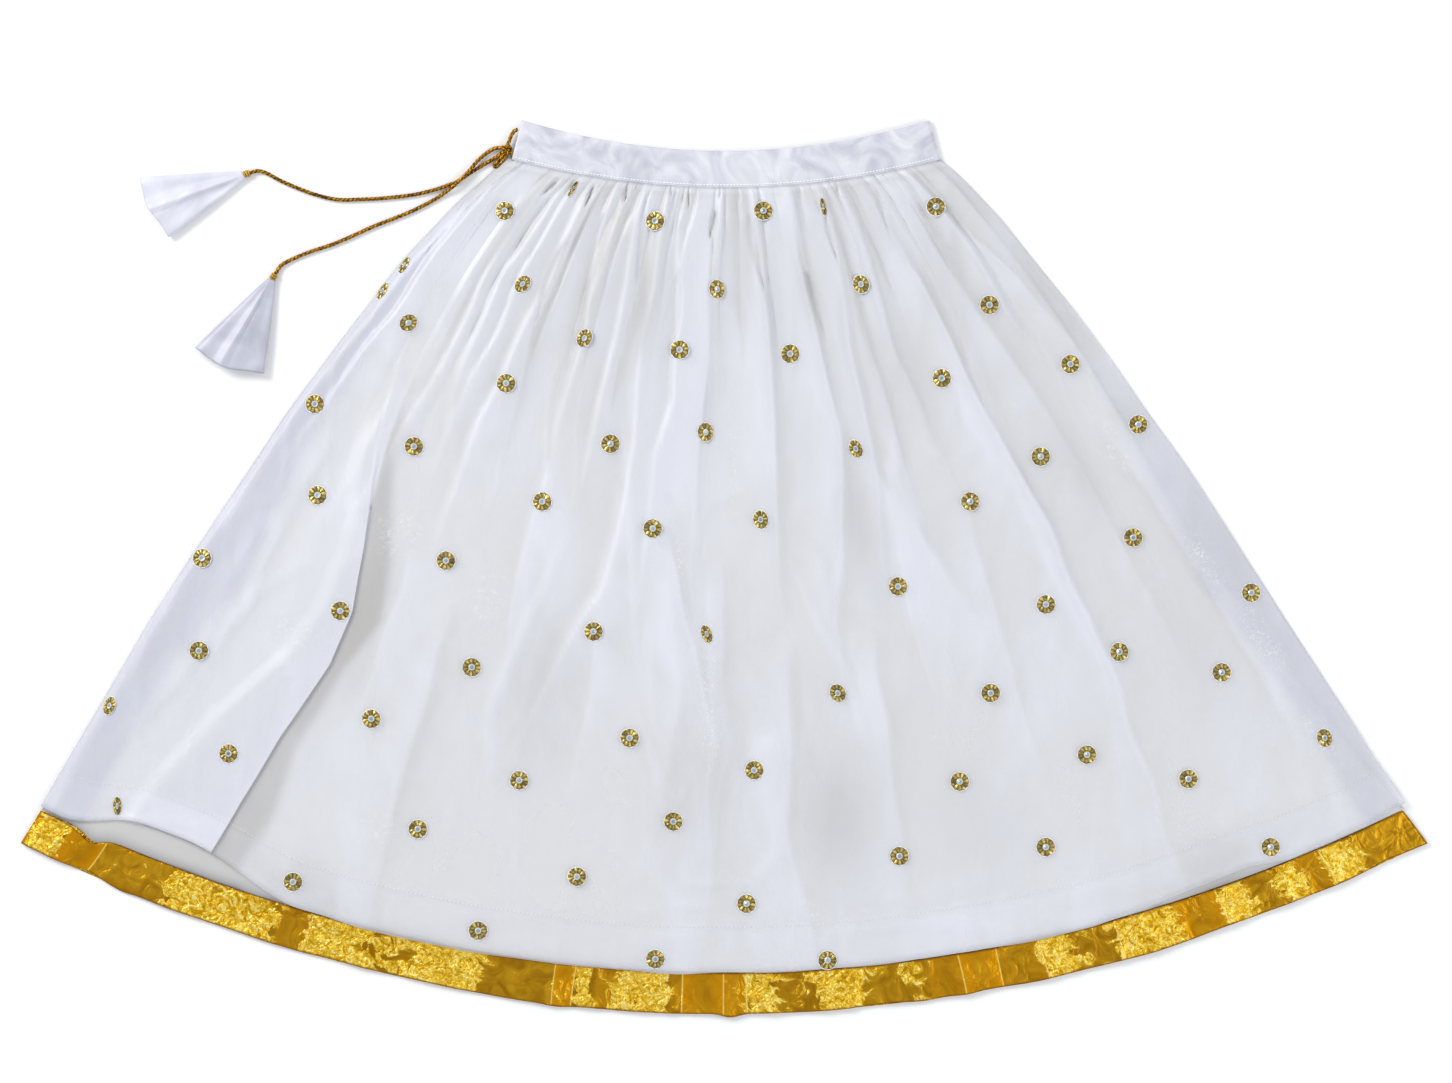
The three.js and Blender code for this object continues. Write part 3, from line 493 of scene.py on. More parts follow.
def front_relief(across, down, half):
    """Height of the front's folds, its painted shade in hollows, how white it is with double cloth, painted
    light and random tone, and its painted lip highlights.
    """
    x = across * half
    y = row_y(across, down)
    sway = soft_noise(across * 420, down * 300, 60, 71) + 0.6 * soft_noise(across * 420, down * 600, 40, 72)
    bent = across + 0.012 * sway * ease(down / 0.12)
    sets = [gather_relief(bent, down, gathers) for gathers in GATHER_SETS]
    gathers = sum(relief for relief, wedge in sets)
    wedges = np.maximum(sets[0][1], sets[1][1])
    pleats, hollow, panel, lip = pleat_relief(bent, down, half)
    dip = patches(DIPS, across, down, half)
    rumple = 0.6 * soft_noise(x, y * 0.5, 34, 11) + crease_noise(x * 1.5, y * 0.6, 60, 12) * ease(down / 0.2)
    hem_rumple = 1.6 * crease_noise(x * 0.5, y * 1.8, 60, 15) * ease((down - 0.82) / 0.08)
    lines = crease_relief(x, y)
    gaps = spindle_gaps(x, y)
    sunk = np.minimum(1, 0.5 * dip + 0.8 * gaps)
    relief = (gathers + pleats) * (1 - sunk) + np.maximum(rumple + hem_rumple + 0.6, 0) + lines
    # painted shade: in the pinches at the seam, the gather wedges, beside crisp edges, in the dips and in the
    # gaps
    pinch_shade = np.clip(1 - sets[0][0] / 0.9, 0, 1) ** 2 * (1 - ease(down / 0.04))
    hollow = 0.68 * hollow + 0.42 * wedges + 0.4 * pinch_shade + 0.45 * dip
    hollow = np.clip(np.maximum(hollow, 0.8 * gaps), 0, 1)
    drift = soft_noise(x + 40 * soft_noise(x, y, 90, 82), y * 0.35, 48, 81)
    marbling = soft_noise(x + 9 * soft_noise(x, y, 24, 86), y * 0.45, 13, 84)
    glow = patches(GLOWS, across, down, half)
    # whiter with painted light on fold panels, crests and glow patches, and with random drift and marbling
    highlight_and_tone = np.clip(0.66 * panel + relief / 13 + 0.44 * drift + 0.2 * marbling + glow + 0.02, 0, 1)
    # painted sheen streaks, and painted highlights on the crease lines and fold lips
    sheen = 0.3 * crease_noise(x, y * 0.6, 110, 83) * ease(down / 0.5)
    lip = np.clip(lip + lines / 4 + sheen, 0, 1)
    return RELIEF_LIMIT * np.tanh(relief / RELIEF_LIMIT), hollow, highlight_and_tone, lip


def side_drop(across, down, half, level, low):
    """Height of the cloth, dropping at its sides to the low level, and how far its folds may rise there."""
    from_side = (1 - np.abs(across)) * half
    drop = at_share(SIDE_ROWS, "drop", down) * (1 - ease(from_side / SIDE_DROP))
    inside = ease((from_side - 0.4 * SIDE_DROP) / (1.6 * SIDE_DROP))
    return mix(level, low, drop), inside


# ---------------------------------------------------------------- meshes
def in_scene(name, data):
    obj = bpy.data.objects.new(name, data)
    bpy.context.scene.collection.objects.link(obj)
    return obj


def new_object(name, verts, faces, material, tints=None):
    """verts are in millimetres, and tints hold one value for each of them."""
    mesh = bpy.data.meshes.new(name)
    mesh.from_pydata((np.asarray(verts, float) * MM).tolist(), [], faces)
    for label, values in (tints or {}).items():
        spot = mesh.attributes.new(label, "FLOAT", "POINT")
        spot.data.foreach_set("value", np.asarray(values, float).ravel())
    mesh.polygons.foreach_set("use_smooth", [True] * len(mesh.polygons))
    mesh.materials.append(material)
    return in_scene(name, mesh)


def cloth_shell(name, centre, thick, material, tints=None):
    """Closed thin shell round a grid of middle points, with rows down the cloth and columns across it."""
    rows, cols = centre.shape[:2]
    normal = np.cross(np.gradient(centre, axis=0), np.gradient(centre, axis=1))
    normal /= np.maximum(np.linalg.norm(normal, axis=2, keepdims=True), 1e-9)
    offset = normal * thick / 2
    verts = np.concatenate([(centre + offset).reshape(-1, 3), (centre - offset).reshape(-1, 3)])
    grid = np.arange(rows * cols).reshape(rows, cols)
    a, b, c, d = (g.ravel() for g in (grid[:-1, :-1], grid[1:, :-1], grid[1:, 1:], grid[:-1, 1:]))
    under = rows * cols
    rim = np.concatenate([grid[:, 0], grid[-1, 1:], grid[-2::-1, -1], grid[0, -2:0:-1]])
    after = np.roll(rim, -1)
    faces = np.concatenate([
        np.stack([a, b, c, d], 1),
        np.stack([d, c, b, a], 1) + under,
        np.stack([rim, rim + under, after + under, after], 1),
    ])
    both = {key: np.tile(np.ravel(values), 2) for key, values in (tints or {}).items()}
    return new_object(name, verts, faces.tolist(), material, both)


def ring_tube(name, rings, material, tints=None):
    """Closed tube through rings of points, each wound round the way the tube runs, with fans on its ends."""
    count, sides = rings.shape[:2]
    verts = np.concatenate([rings.reshape(-1, 3), [rings[0].mean(0), rings[-1].mean(0)]])
    grid = np.arange(count * sides).reshape(count, sides)
    turn = np.roll(grid, -1, axis=1)
    a, b, c, d = grid[:-1].ravel(), turn[:-1].ravel(), turn[1:].ravel(), grid[1:].ravel()
    faces = np.stack([a, b, c, d], 1).tolist()
    start, end = count * sides, count * sides + 1
    faces += [[start, int(turn[0, k]), int(grid[0, k])] for k in range(sides)]
    faces += [[end, int(grid[-1, k]), int(turn[-1, k])] for k in range(sides)]
    full = {key: np.append(v.ravel(), [0.5, 0.5]) for key, v in (tints or {}).items()}
    return new_object(name, verts, faces, material, full)


def smooth_route(points, step):
    """Evenly spaced points on one smooth curve through the given ones, and its length."""
    p = np.asarray(points, float)
    p = np.vstack([2 * p[0] - p[1], p, 2 * p[-1] - p[-2]])
    knots = np.concatenate([[0], np.cumsum(np.sqrt(np.linalg.norm(np.diff(p, axis=0), axis=1)))])
    fine = []
    for k in range(1, len(p) - 2):
        t0, t1, t2, t3 = knots[k - 1 : k + 3]
        t = np.linspace(t1, t2, 24, endpoint=False)[:, None]

        def blend(u, v, s, e):
            return ((e - t) * u + (t - s) * v) / (e - s)

        a1 = blend(p[k - 1], p[k], t0, t1)
        a2 = blend(p[k], p[k + 1], t1, t2)
        a3 = blend(p[k + 1], p[k + 2], t2, t3)
        fine.append(blend(blend(a1, a2, t0, t2), blend(a2, a3, t1, t3), t1, t2))
    fine = np.vstack(fine + [p[-2:-1]])
    walked = np.concatenate([[0], np.cumsum(np.linalg.norm(np.diff(fine, axis=0), axis=1))])
    even = np.linspace(0, walked[-1], max(4, round(walked[-1] / step)) + 1)
    return np.stack([np.interp(even, walked, fine[:, k]) for k in range(3)], 1), walked[-1]


def twisted_cord(name, path, radius, pitch=TWIST_PITCH):
    """A cord of twisted strands: its lobes turn round the path. The crown tint, which paints highlights on
    the strands and shade between them, is 0 between strands.
    """
    tangent = np.gradient(path, axis=0)
    tangent /= np.linalg.norm(tangent, axis=1, keepdims=True)
    side = np.cross(tangent, [0, 0, 1])
    side /= np.maximum(np.linalg.norm(side, axis=1, keepdims=True), 1e-6)
    lift = np.cross(side, tangent)
    walked = np.concatenate([[0], np.cumsum(np.linalg.norm(np.diff(path, axis=0), axis=1))])
    angle = np.linspace(0, 2 * np.pi, CORD_SIDES, endpoint=False)[None, :]
    lobes = STRANDS * (angle - 2 * np.pi * walked[:, None] / pitch)
    crown = np.abs(np.cos(lobes / 2)) ** 0.8
    reach = radius * mix(0.66, 1.06, crown)
    rings = path[:, None] + reach[..., None] * (
        np.cos(angle)[..., None] * side[:, None] + np.sin(angle)[..., None] * lift[:, None]
    )
    return ring_tube(name, rings[:, ::-1], GOLD_CORD, {"crown": crown[:, ::-1] ** 2})


# ---------------------------------------------------------------- node trees
def add(tree, kind, inputs=None, **settings):
    """A node with its settings made, and each input linked to a socket or set to a value."""
    made = tree.nodes.new(kind)
    for key, value in settings.items():
        setattr(made, key, value)
    for key, value in (inputs or {}).items():
        if isinstance(value, bpy.types.NodeSocket):
            tree.links.new(value, made.inputs[key])
        else:
            made.inputs[key].default_value = value
    return made


def add_group(tree, group, inputs):
    return add(tree, "ShaderNodeGroup", inputs, node_tree=group).outputs


def new_group(name, kind, inputs, outputs):
    """An empty group with its sockets. Each is a label and a kind, and an input may have a starting value."""
    tree = bpy.data.node_groups.new(name, kind)
    for way, labels in (("INPUT", inputs), ("OUTPUT", outputs)):
        for label, socket_kind, *value in labels:
            made = tree.interface.new_socket(label, in_out=way, socket_type="NodeSocket" + socket_kind)
            if value:
                made.default_value = value[0]
    return tree, tree.nodes.new("NodeGroupInput").outputs


def maths(tree, operation, *values):
    return add(tree, "ShaderNodeMath", dict(enumerate(values)), operation=operation).outputs[0]


def multiply_add(tree, value, factor, extra):
    return maths(tree, "MULTIPLY_ADD", value, factor, extra)


def noise(tree, where, scale, detail=2.0, distortion=0.0):
    inputs = {"Vector": where, "Scale": scale, "Detail": detail, "Distortion": distortion}
    return add(tree, "ShaderNodeTexNoise", inputs).outputs["Fac"]


def stretched(tree, where, scale):
    return add(tree, "ShaderNodeMapping", {"Vector": where, "Scale": scale}).outputs[0]


def remapped(tree, value, low, high, to_low=0.0, to_high=1.0):
    inputs = {"Value": value, 1: low, 2: high, 3: to_low, 4: to_high}
    return add(tree, "ShaderNodeMapRange", inputs).outputs[0]


def ramp(tree, value, stops):
    made = add(tree, "ShaderNodeValToRGB", {"Fac": value})
    elements = made.color_ramp.elements
    for extra in range(len(stops) - 2):
        elements.new(0.5)
    for element, (place, colour) in zip(elements, stops):
        element.position = place
        element.color = (*colour, 1)
    return made.outputs["Color"]


def cloth_grain_group():
    """Slubs and threads that run both ways along the cloth, and a mild mottle."""
    tree, given = new_group(
        "cloth_grain", "ShaderNodeTree",
        [("Vector", "Vector"), ("Thread", "Float", 900.0), ("Mottle size", "Float", 22.0)],
        [("Height", "Float"), ("Mottle", "Float")],
    )
    runs = [
        noise(tree, stretched(tree, given["Vector"], scale), given["Thread"])
        for scale in ((1, 0.04, 1), (0.04, 1, 1))
    ]
    mottle = noise(tree, given["Vector"], given["Mottle size"], detail=4.0)
    add(tree, "NodeGroupOutput", {"Height": maths(tree, "ADD", *runs), "Mottle": mottle})
    return tree


def wrinkle_group():
    """Soft silky wrinkles that run down the cloth rather than across it."""
    tree, given = new_group(
        "silky_wrinkles", "ShaderNodeTree",
        [("Vector", "Vector"), ("Size", "Float", 40.0)], [("Height", "Float")],
    )
    drawn = stretched(tree, given["Vector"], (1, 0.35, 1))
    add(tree, "NodeGroupOutput", {"Height": noise(tree, drawn, given["Size"], detail=3.0, distortion=0.7)})
    return tree


GRAIN = cloth_grain_group()
WRINKLES = wrinkle_group()


def new_material(name, **plain):
    """A material with a Principled shader whose named sockets are set to plain values."""
    material = bpy.data.materials.new(name)
    material.use_nodes = True
    tree = material.node_tree
    shader = tree.nodes["Principled BSDF"]
    for key, value in plain.items():
        shader.inputs[key.replace("_", " ").title().replace("Ior", "IOR")].default_value = value
    return material, tree, shader.inputs


def own_coordinates(tree):
    return tree.nodes.new("ShaderNodeTexCoord").outputs["Object"]


def tint(tree, label):
    return add(tree, "ShaderNodeAttribute", attribute_name=label).outputs["Fac"]


def bump(tree, shader, height, strength, distance):
    made = add(tree, "ShaderNodeBump", {"Height": height, "Strength": strength, "Distance": distance})
    tree.links.new(made.outputs[0], shader["Normal"])


def link_colour(tree, shader, colour):
    tree.links.new(colour, shader["Base Color"])


def mix_colour(tree, share, a, b):
    """Colours are sockets, or red, green and blue."""
    a, b = (colour if isinstance(colour, bpy.types.NodeSocket) else (*colour, 1) for colour in (a, b))
    return add(tree, "ShaderNodeMix", {0: share, 6: a, 7: b}, data_type="RGBA").outputs[2]


def organza_finish():
    """Sheer and slightly blue. Painted shade makes it warmer and dimmer down in a hollow, painted highlights
    make it whiter on crests and lips, and it is denser where it stands steep.
    """
    material, tree, shader = new_material("organza", roughness=0.38, sheen_weight=0.2, sheen_roughness=0.4)
    where = own_coordinates(tree)
    # painted highlights: whiter and bluer on crests, lit fold panels, lips and glow patches, mixed with
    # doubled cloth and random tone
    colour = mix_colour(tree, tint(tree, "highlight_and_tone"), (0.835, 0.835, 0.85), (0.915, 0.928, 0.99))
    # painted shade: warmer and dimmer in hollows, gather wedges, gaps and beside crisp fold edges
    colour = mix_colour(tree, tint(tree, "hollow"), colour, (0.55, 0.53, 0.502))
    # painted shade: dimmer and bluer on the side strips where the cloth is doubled
    colour = mix_colour(tree, tint(tree, "turned"), colour, (0.68, 0.695, 0.78))
    # Painted glints are the thin lines where a noise passes its middle value, on crinkled cloth only.
    thin = maths(tree, "COMPARE", noise(tree, where, 230.0, detail=1.0, distortion=1.0), 0.5, 0.028)
    painted_glint = maths(tree, "MULTIPLY", thin, tint(tree, "crinkled"))
    link_colour(tree, shader, mix_colour(tree, painted_glint, colour, (1.0, 1.0, 1.0)))
    tree.links.new(tint(tree, "veil"), shader["Alpha"])
    wrinkles = add_group(tree, WRINKLES, {"Vector": where, "Size": 55.0})
    bump(tree, shader, multiply_add(tree, painted_glint, 0.35, wrinkles["Height"]), 0.5, 0.002)
    return material


def crepe_finish():
    """Plain underskirt cloth, darkened with painted shade where it slips out of sight under the border."""
    material, tree, shader = new_material("underskirt_crepe", roughness=0.62, sheen_weight=0.1)
    grain = add_group(tree, GRAIN, {"Vector": own_coordinates(tree), "Thread": 900.0, "Mottle size": 10.0})
    plain = mix_colour(tree, grain["Mottle"], (0.755, 0.752, 0.76), (0.785, 0.783, 0.793))
    link_colour(tree, shader, mix_colour(tree, tint(tree, "shade"), plain, (0.55, 0.535, 0.53)))
    bump(tree, shader, grain["Height"], 0.12, 0.0004)
    return material


def satin_finish(name, dark, light, swirl):
    """Satin with the soft swirls that its sheen makes where the cloth is eased round a band."""
    material, tree, shader = new_material(name, roughness=0.38, sheen_weight=0.15)
    where = own_coordinates(tree)
    flow = noise(tree, where, swirl, detail=3.0, distortion=2.6)
    grain = add_group(tree, GRAIN, {"Vector": where, "Thread": 1200.0, "Mottle size": 30.0})
    wrinkles = add_group(tree, WRINKLES, {"Vector": where, "Size": 90.0})
    link_colour(tree, shader, mix_colour(tree, remapped(tree, flow, 0.3, 0.7), dark, light))
    bump(tree, shader, multiply_add(tree, grain["Height"], 0.08, wrinkles["Height"]), 0.35, 0.0015)
    return material


def tissue_finish():
    """Gold tissue: grainy and bright with painted glints where it is crushed, smooth ochre or with a painted
    orange glow where it is not.
    """
    material, tree, shader = new_material("gold_tissue", metallic=0.8, specular_ior_level=0.2)
    where = own_coordinates(tree)
    islands = noise(tree, where, 58.0, detail=3.0, distortion=1.6)
    raised = maths(tree, "SUBTRACT", islands, 0.5)
    crushed = remapped(tree, multiply_add(tree, raised, 2.2, tint(tree, "crushed")), 0.42, 0.5)
    grit = add(tree, "ShaderNodeTexVoronoi", {"Vector": where, "Scale": 800.0}, feature="F1")
    grain = multiply_add(tree, grit.outputs["Color"], 0.56, 0.22)
    # wavy painted highlights that brighten the grain of the crushed tissue
    highlight_waves = remapped(tree, noise(tree, where, 125.0, detail=3.0, distortion=2.2), 0.32, 0.64, 0.15, 0.9)
    grain_and_glints = maths(tree, "MULTIPLY", grain, highlight_waves)
    dull = mix_colour(tree, multiply_add(tree, raised, 3.0, 0.5), (0.36, 0.165, 0.003), (0.6, 0.32, 0.01))
    # painted orange glow of smooth tissue near its creases
    smooth = mix_colour(tree, tint(tree, "glow"), dull, (0.72, 0.3, 0.001))
    # the crushed tissue's colour runs from dark grain up to painted glints
    grainy = ramp(tree, grain_and_glints, [
        (0.05, (0.45, 0.22, 0.004)),
        (0.2, (0.72, 0.42, 0.015)),
        (0.38, (0.96, 0.67, 0.08)),
        (0.6, (1.0, 0.88, 0.36)),
    ])
    cloth = mix_colour(tree, crushed, smooth, grainy)
    # painted highlight along the bright creases
    lined = mix_colour(tree, tint(tree, "line"), cloth, (1.0, 0.74, 0.16))
    # painted shade along the border's top and bottom edges
    link_colour(tree, shader, mix_colour(tree, tint(tree, "edge"), lined, (0.4, 0.15, 0.003)))
    tree.links.new(multiply_add(tree, crushed, 0.08, 0.34), shader["Roughness"])
    bump(tree, shader, multiply_add(tree, islands, 1.2, maths(tree, "MULTIPLY", grain_and_glints, crushed)), 0.7, 0.002)
    return material


def gold_finish(name, dark, light, rough, metallic, fleck, contrast=1.2):
    """Gold thread or foil: darker in its grooves with painted shade, brighter on its crowns with painted
    highlights, and flecked all over.
    """
    material, tree, shader = new_material(name, metallic=metallic)
    flecks = noise(tree, own_coordinates(tree), fleck)
    flecked = multiply_add(tree, flecks, contrast, 0.7 - contrast / 2)
    share = maths(tree, "MULTIPLY", tint(tree, "crown"), flecked)
    link_colour(tree, shader, mix_colour(tree, share, dark, light))
    tree.links.new(multiply_add(tree, flecks, 0.3, rough - 0.15), shader["Roughness"])
    bump(tree, shader, flecks, 0.4, 0.0005)
    return material


def plain_finish(name, colour, roughness, metallic=0.0, spread=0.12):
    """One colour, clouded with a darker one by the spread."""
    material, tree, shader = new_material(name, roughness=roughness, metallic=metallic)
    darker = tuple(c * (1 - spread) for c in colour)
    cloud = noise(tree, own_coordinates(tree), 60.0, detail=3.0)
    link_colour(tree, shader, mix_colour(tree, cloud, darker, colour))
    return material


ORGANZA = organza_finish()
CREPE = crepe_finish()
BAND_SATIN = satin_finish("band_satin", (0.52, 0.53, 0.605), (0.79, 0.795, 0.835), 26.0)
# One satin in two copies for the tassels: the upper's lighter colour is painted light, the lower's darker one
# painted shade.
LIT_AND_SHADED_TASSEL_SATIN = {
    "upper": satin_finish("tassel_upper_satin_painted_light", (0.6, 0.61, 0.69), (0.75, 0.76, 0.83), 20.0),
    "lower": satin_finish("tassel_lower_satin_painted_shade", (0.43, 0.44, 0.515), (0.55, 0.56, 0.635), 20.0),
}
GOLD_TISSUE = tissue_finish()
GOLD_CORD = gold_finish("gold_cord", (0.035, 0.008, 0.0005), (0.66, 0.31, 0.004), 0.35, 0.75, 560.0, 5.0)
GOLD_BEAD = gold_finish("gold_bead", (0.1, 0.045, 0.004), (0.85, 0.53, 0.07), 0.3, 0.7, 300.0)
PETAL = gold_finish("sequin_petal", (0.1, 0.062, 0.008), (0.86, 0.67, 0.2), 0.3, 0.65, 420.0, 2.5)
# a dark disc under the petals: painted shadow in the gaps between them
PAINTED_PETAL_SHADOW = plain_finish("sequin_shadow", (0.1, 0.07, 0.025), 0.6)
HALO = plain_finish("sequin_backing", (0.88, 0.88, 0.9), 0.6)
HEM_THREAD = plain_finish("hem_thread", (0.84, 0.84, 0.87), 0.5, 0.0, 0.03)
STONE_RING = plain_finish("stone_setting", (0.66, 0.7, 0.7), 0.3, 0.3)
STONE = plain_finish("stone", (0.68, 0.74, 0.78), 0.15, 0.3, 0.9)
THREAD = plain_finish("sewing_thread", (0.97, 0.97, 0.98), 0.5, 0.0, 0.03)
FLOOR = new_material("floor", base_color=(0.96, 0.96, 0.96, 1), roughness=0.85)[0]


# ---------------------------------------------------------------- panels of the skirt
def spaced(knots, counts):
    """Places that pass through the knots, with so many steps between each two."""
    parts = [np.linspace(a, b, n, endpoint=False) for a, b, n in zip(knots, knots[1:], counts)]
    return np.concatenate(parts + [[knots[-1]]])


def lap_section(edge_x, lap, rise):
    """Middle line of the deep fold: over its edge, back under itself, on along the layer below."""
    if lap <= 0:
        u = np.linspace(0, 1, 22)
        return edge_x - lap * (u - 0.5), rise * (1 - ease(u))
    turn = np.linspace(0, np.pi, 8)
    r = LAYER / 2
    over_x, over_z = edge_x - r + r * np.sin(turn), 2 * LAYER + r * (np.cos(turn) - 1)
    back_x, back_z = edge_x - lap + r - r * np.sin(turn), LAYER + r * (np.cos(turn) - 1)
    between = np.linspace(0, 1, 8)[1:-1]
    flat_x = mix(over_x[-1], back_x[0], between)
    return np.concatenate([over_x, flat_x, back_x]), np.concatenate([over_z, np.full(6, LAYER), back_z])


def front_row(down):
    """One row of the front: its share across, x and z, how white it is with painted light, doubled cloth and
    tone, and its painted shade and painted lip highlights.
    """
    half = half_width(down)
    edge, lap, rise = (float(at_share(LAP_ROWS, key, down)) for key in ("edge", "lap", "rise"))
    edge_x, lapped = edge * half, lap > 0
    slope = abs(lap) / 2 + 2 * LAYER
    over_end = edge_x - (LAYER if lapped else slope)
    under_start = edge_x + (LAYER - lap if lapped else slope)
    ramp_end = (edge_x - lap if lapped else over_end) - LAP_CLEAR
    ramp_start = ramp_end - LAP_RAMP

    def level(x):
        base, inside = side_drop(x / half, down, half, OVER_FRONT, UNDER_BACK)
        relief, hollow, highlight_and_tone, lip = front_relief(x / half, down, half)
        return base + relief * inside, highlight_and_tone, hollow, lip

    over_x = spaced([-half, 2 * SIDE_DROP - half, ramp_start, ramp_end, over_end], [6, 20, 10, 14])
    over_z, over_crest, over_hollow, over_lip = level(over_x)
    over_z = over_z + rise * ease((over_x - ramp_start) / LAP_RAMP)
    lap_x, lap_z = lap_section(edge_x, lap, rise)
    lap_base, lap_crest, lap_hollow, lap_lip = level(lap_x if lapped else np.full_like(lap_x, edge_x))
    under_x = spaced([under_start, -0.6 * half, half - 2 * SIDE_DROP, half], [26, 312, 6])
    under_z, under_crest, under_hollow, under_lip = level(under_x)
    x = np.concatenate([over_x, lap_x, under_x])
    z = np.concatenate([over_z, lap_base + lap_z, under_z])
    raised = ease(rise / LAP_RISE)  # the lapped cloth lies double, so it looks whiter and has no hollows
    whitened = ease((over_x - ramp_start + LAP_WHITENED["from"]) / LAP_WHITENED["over"])
    whiter = raised * mix(0.3, 0.9, whitened)
    highlight_and_tone = np.concatenate([np.maximum(over_crest, whiter), np.maximum(lap_crest, raised), under_crest])
    hollow = np.concatenate([over_hollow * (1 - 0.7 * raised), 0 * lap_hollow, under_hollow])
    lip = np.concatenate([over_lip, lap_lip, under_lip])
    shade = raised * (1 - ease((x - edge_x - at_share(LAP_ROWS, "shade", down)) / LAP_SHADE_FADE))
    shade[: len(over_x) + len(lap_x)] = 0
    return x / half, x, z, highlight_and_tone, np.clip(hollow + 0.75 * shade, 0, 1), lip


def overskirt_front():
    """Grid of the front's middle surface, its rows' shares down, and how its cloth shows."""
    downs = np.linspace(0, 1, FRONT_ROWS) ** 1.15 * (BORDER_START + EDGE_SHARE)
    rows = []
    for down in downs:
        across, x, z, highlight_and_tone, hollow, lip = front_row(down)
        place = pulled_up(across, down)
        sway = 1.6 * soft_noise(down * 600, across * 3, 45, 21) * np.abs(across) ** 6
        wander = 1.3 * soft_noise(x, x * 0, 40, 22) + np.interp(across, HEM_RISE["across"], HEM_RISE["rise"])
        wide = across * half_width(place) + sway + sideways(across, down)
        points = np.stack([wide, row_y(across, place) + wander * ease((down - 0.86) / 0.09), z], 1)
        crinkled = patches(CRINKLED, across, down, half_width(down))
        rows.append((points, highlight_and_tone, hollow, lip, crinkled, turned_side(across, down)))
    grid, highlight_and_tone, hollow, lip, crinkled, turned = (np.array(column) for column in zip(*rows))
    # The topmost row is drawn down under the band, and the cloth is doubled in the seam.
    lip[downs < SEAM_DOUBLED] = 0.8
    grid[0, :, 1] += SEAM_TUCK
    grid[0, :, 2] = np.minimum(grid[0, :, 2], OVER_FRONT - 0.2)
    step = np.gradient(grid, axis=1)
    steep = np.clip(np.abs(step[..., 2]) / np.maximum(np.abs(step[..., 0]), 0.05), 0, 1)
    turned_up = ease((downs - HEM_TURN_START) / 0.006)[:, None]
    veil = VEIL + 0.16 * steep + 0.22 * hollow + 0.07 * turned_up + 0.2 * highlight_and_tone + 0.14 * lip + 0.33 * turned
    # whiter with the painted lip highlights and with the turned-up hem's doubled cloth
    highlight_and_tone = np.clip(highlight_and_tone + 0.5 * lip + 0.2 * turned_up, 0, 1.5)
    tints = {"highlight_and_tone": highlight_and_tone, "hollow": 0.8 * hollow, "veil": veil, "crinkled": crinkled, "turned": turned}
    return grid, downs, tints


def turned_side(across, down):
    """The strip down each side where the cloth is doubled, painted dimmer with shade and streaked along it.
    The right one is fainter.
    """
    from_side = (1 - np.abs(across)) * half_width(down)
    strip = 1 - ease((from_side - at_share(TURNED_SIDE, "wide", down)) / 6)
    strength = np.where(across < 0, ease(down / 0.1), 0.65 * ease((down - 0.25) / 0.3))
    return strip * strength * (0.8 + 0.3 * soft_noise(from_side, from_side * 0 + down * 200, 7, 85))


def sideways(across, down):
    """The sides swing a little to the left between the waist and the hem."""
    return at_share(SIDE_SWING, "shift", down) * np.abs(across) ** 3


def flat_panel(downs, columns, height_at, inset=False, place_at=None):
    """Grid of middle points of a panel whose height is a function of place."""
    grid = []
    for down in downs:
        half = float(half_width(down))
        reach = 1 - (float(at_share(SIDE_ROWS, "inset", down)) / half if inset else 0)
        across = np.linspace(-1, 1, columns) * reach
        place = place_at(across, down) if place_at else np.full_like(across, down)
        x = across * half_width(place) + sideways(across, down)
        grid.append(np.stack([x, row_y(across, place), height_at(across, down, half)], 1))
    return np.array(grid)


def back_relief(across, down, half):
    """The back's gathers, pressed flat against the surface."""
    return BACK_TOP - np.minimum(0.16 * gather_relief(across, down, GATHER_SETS[0])[0], 0.62)


def underskirt_height(level, seed):
    def height(across, down, half):
        x, y = across * half, row_y(across, down)
        return level + 0.28 * soft_noise(x, y * 0.5, 70, seed)

    return height


def border_edge_dip(across):
    """Where the border's upper edge sags beside the deep fold's pulled-up corner."""
    return -7.0 * np.exp(-(((across + 0.922) / 0.018) ** 2))


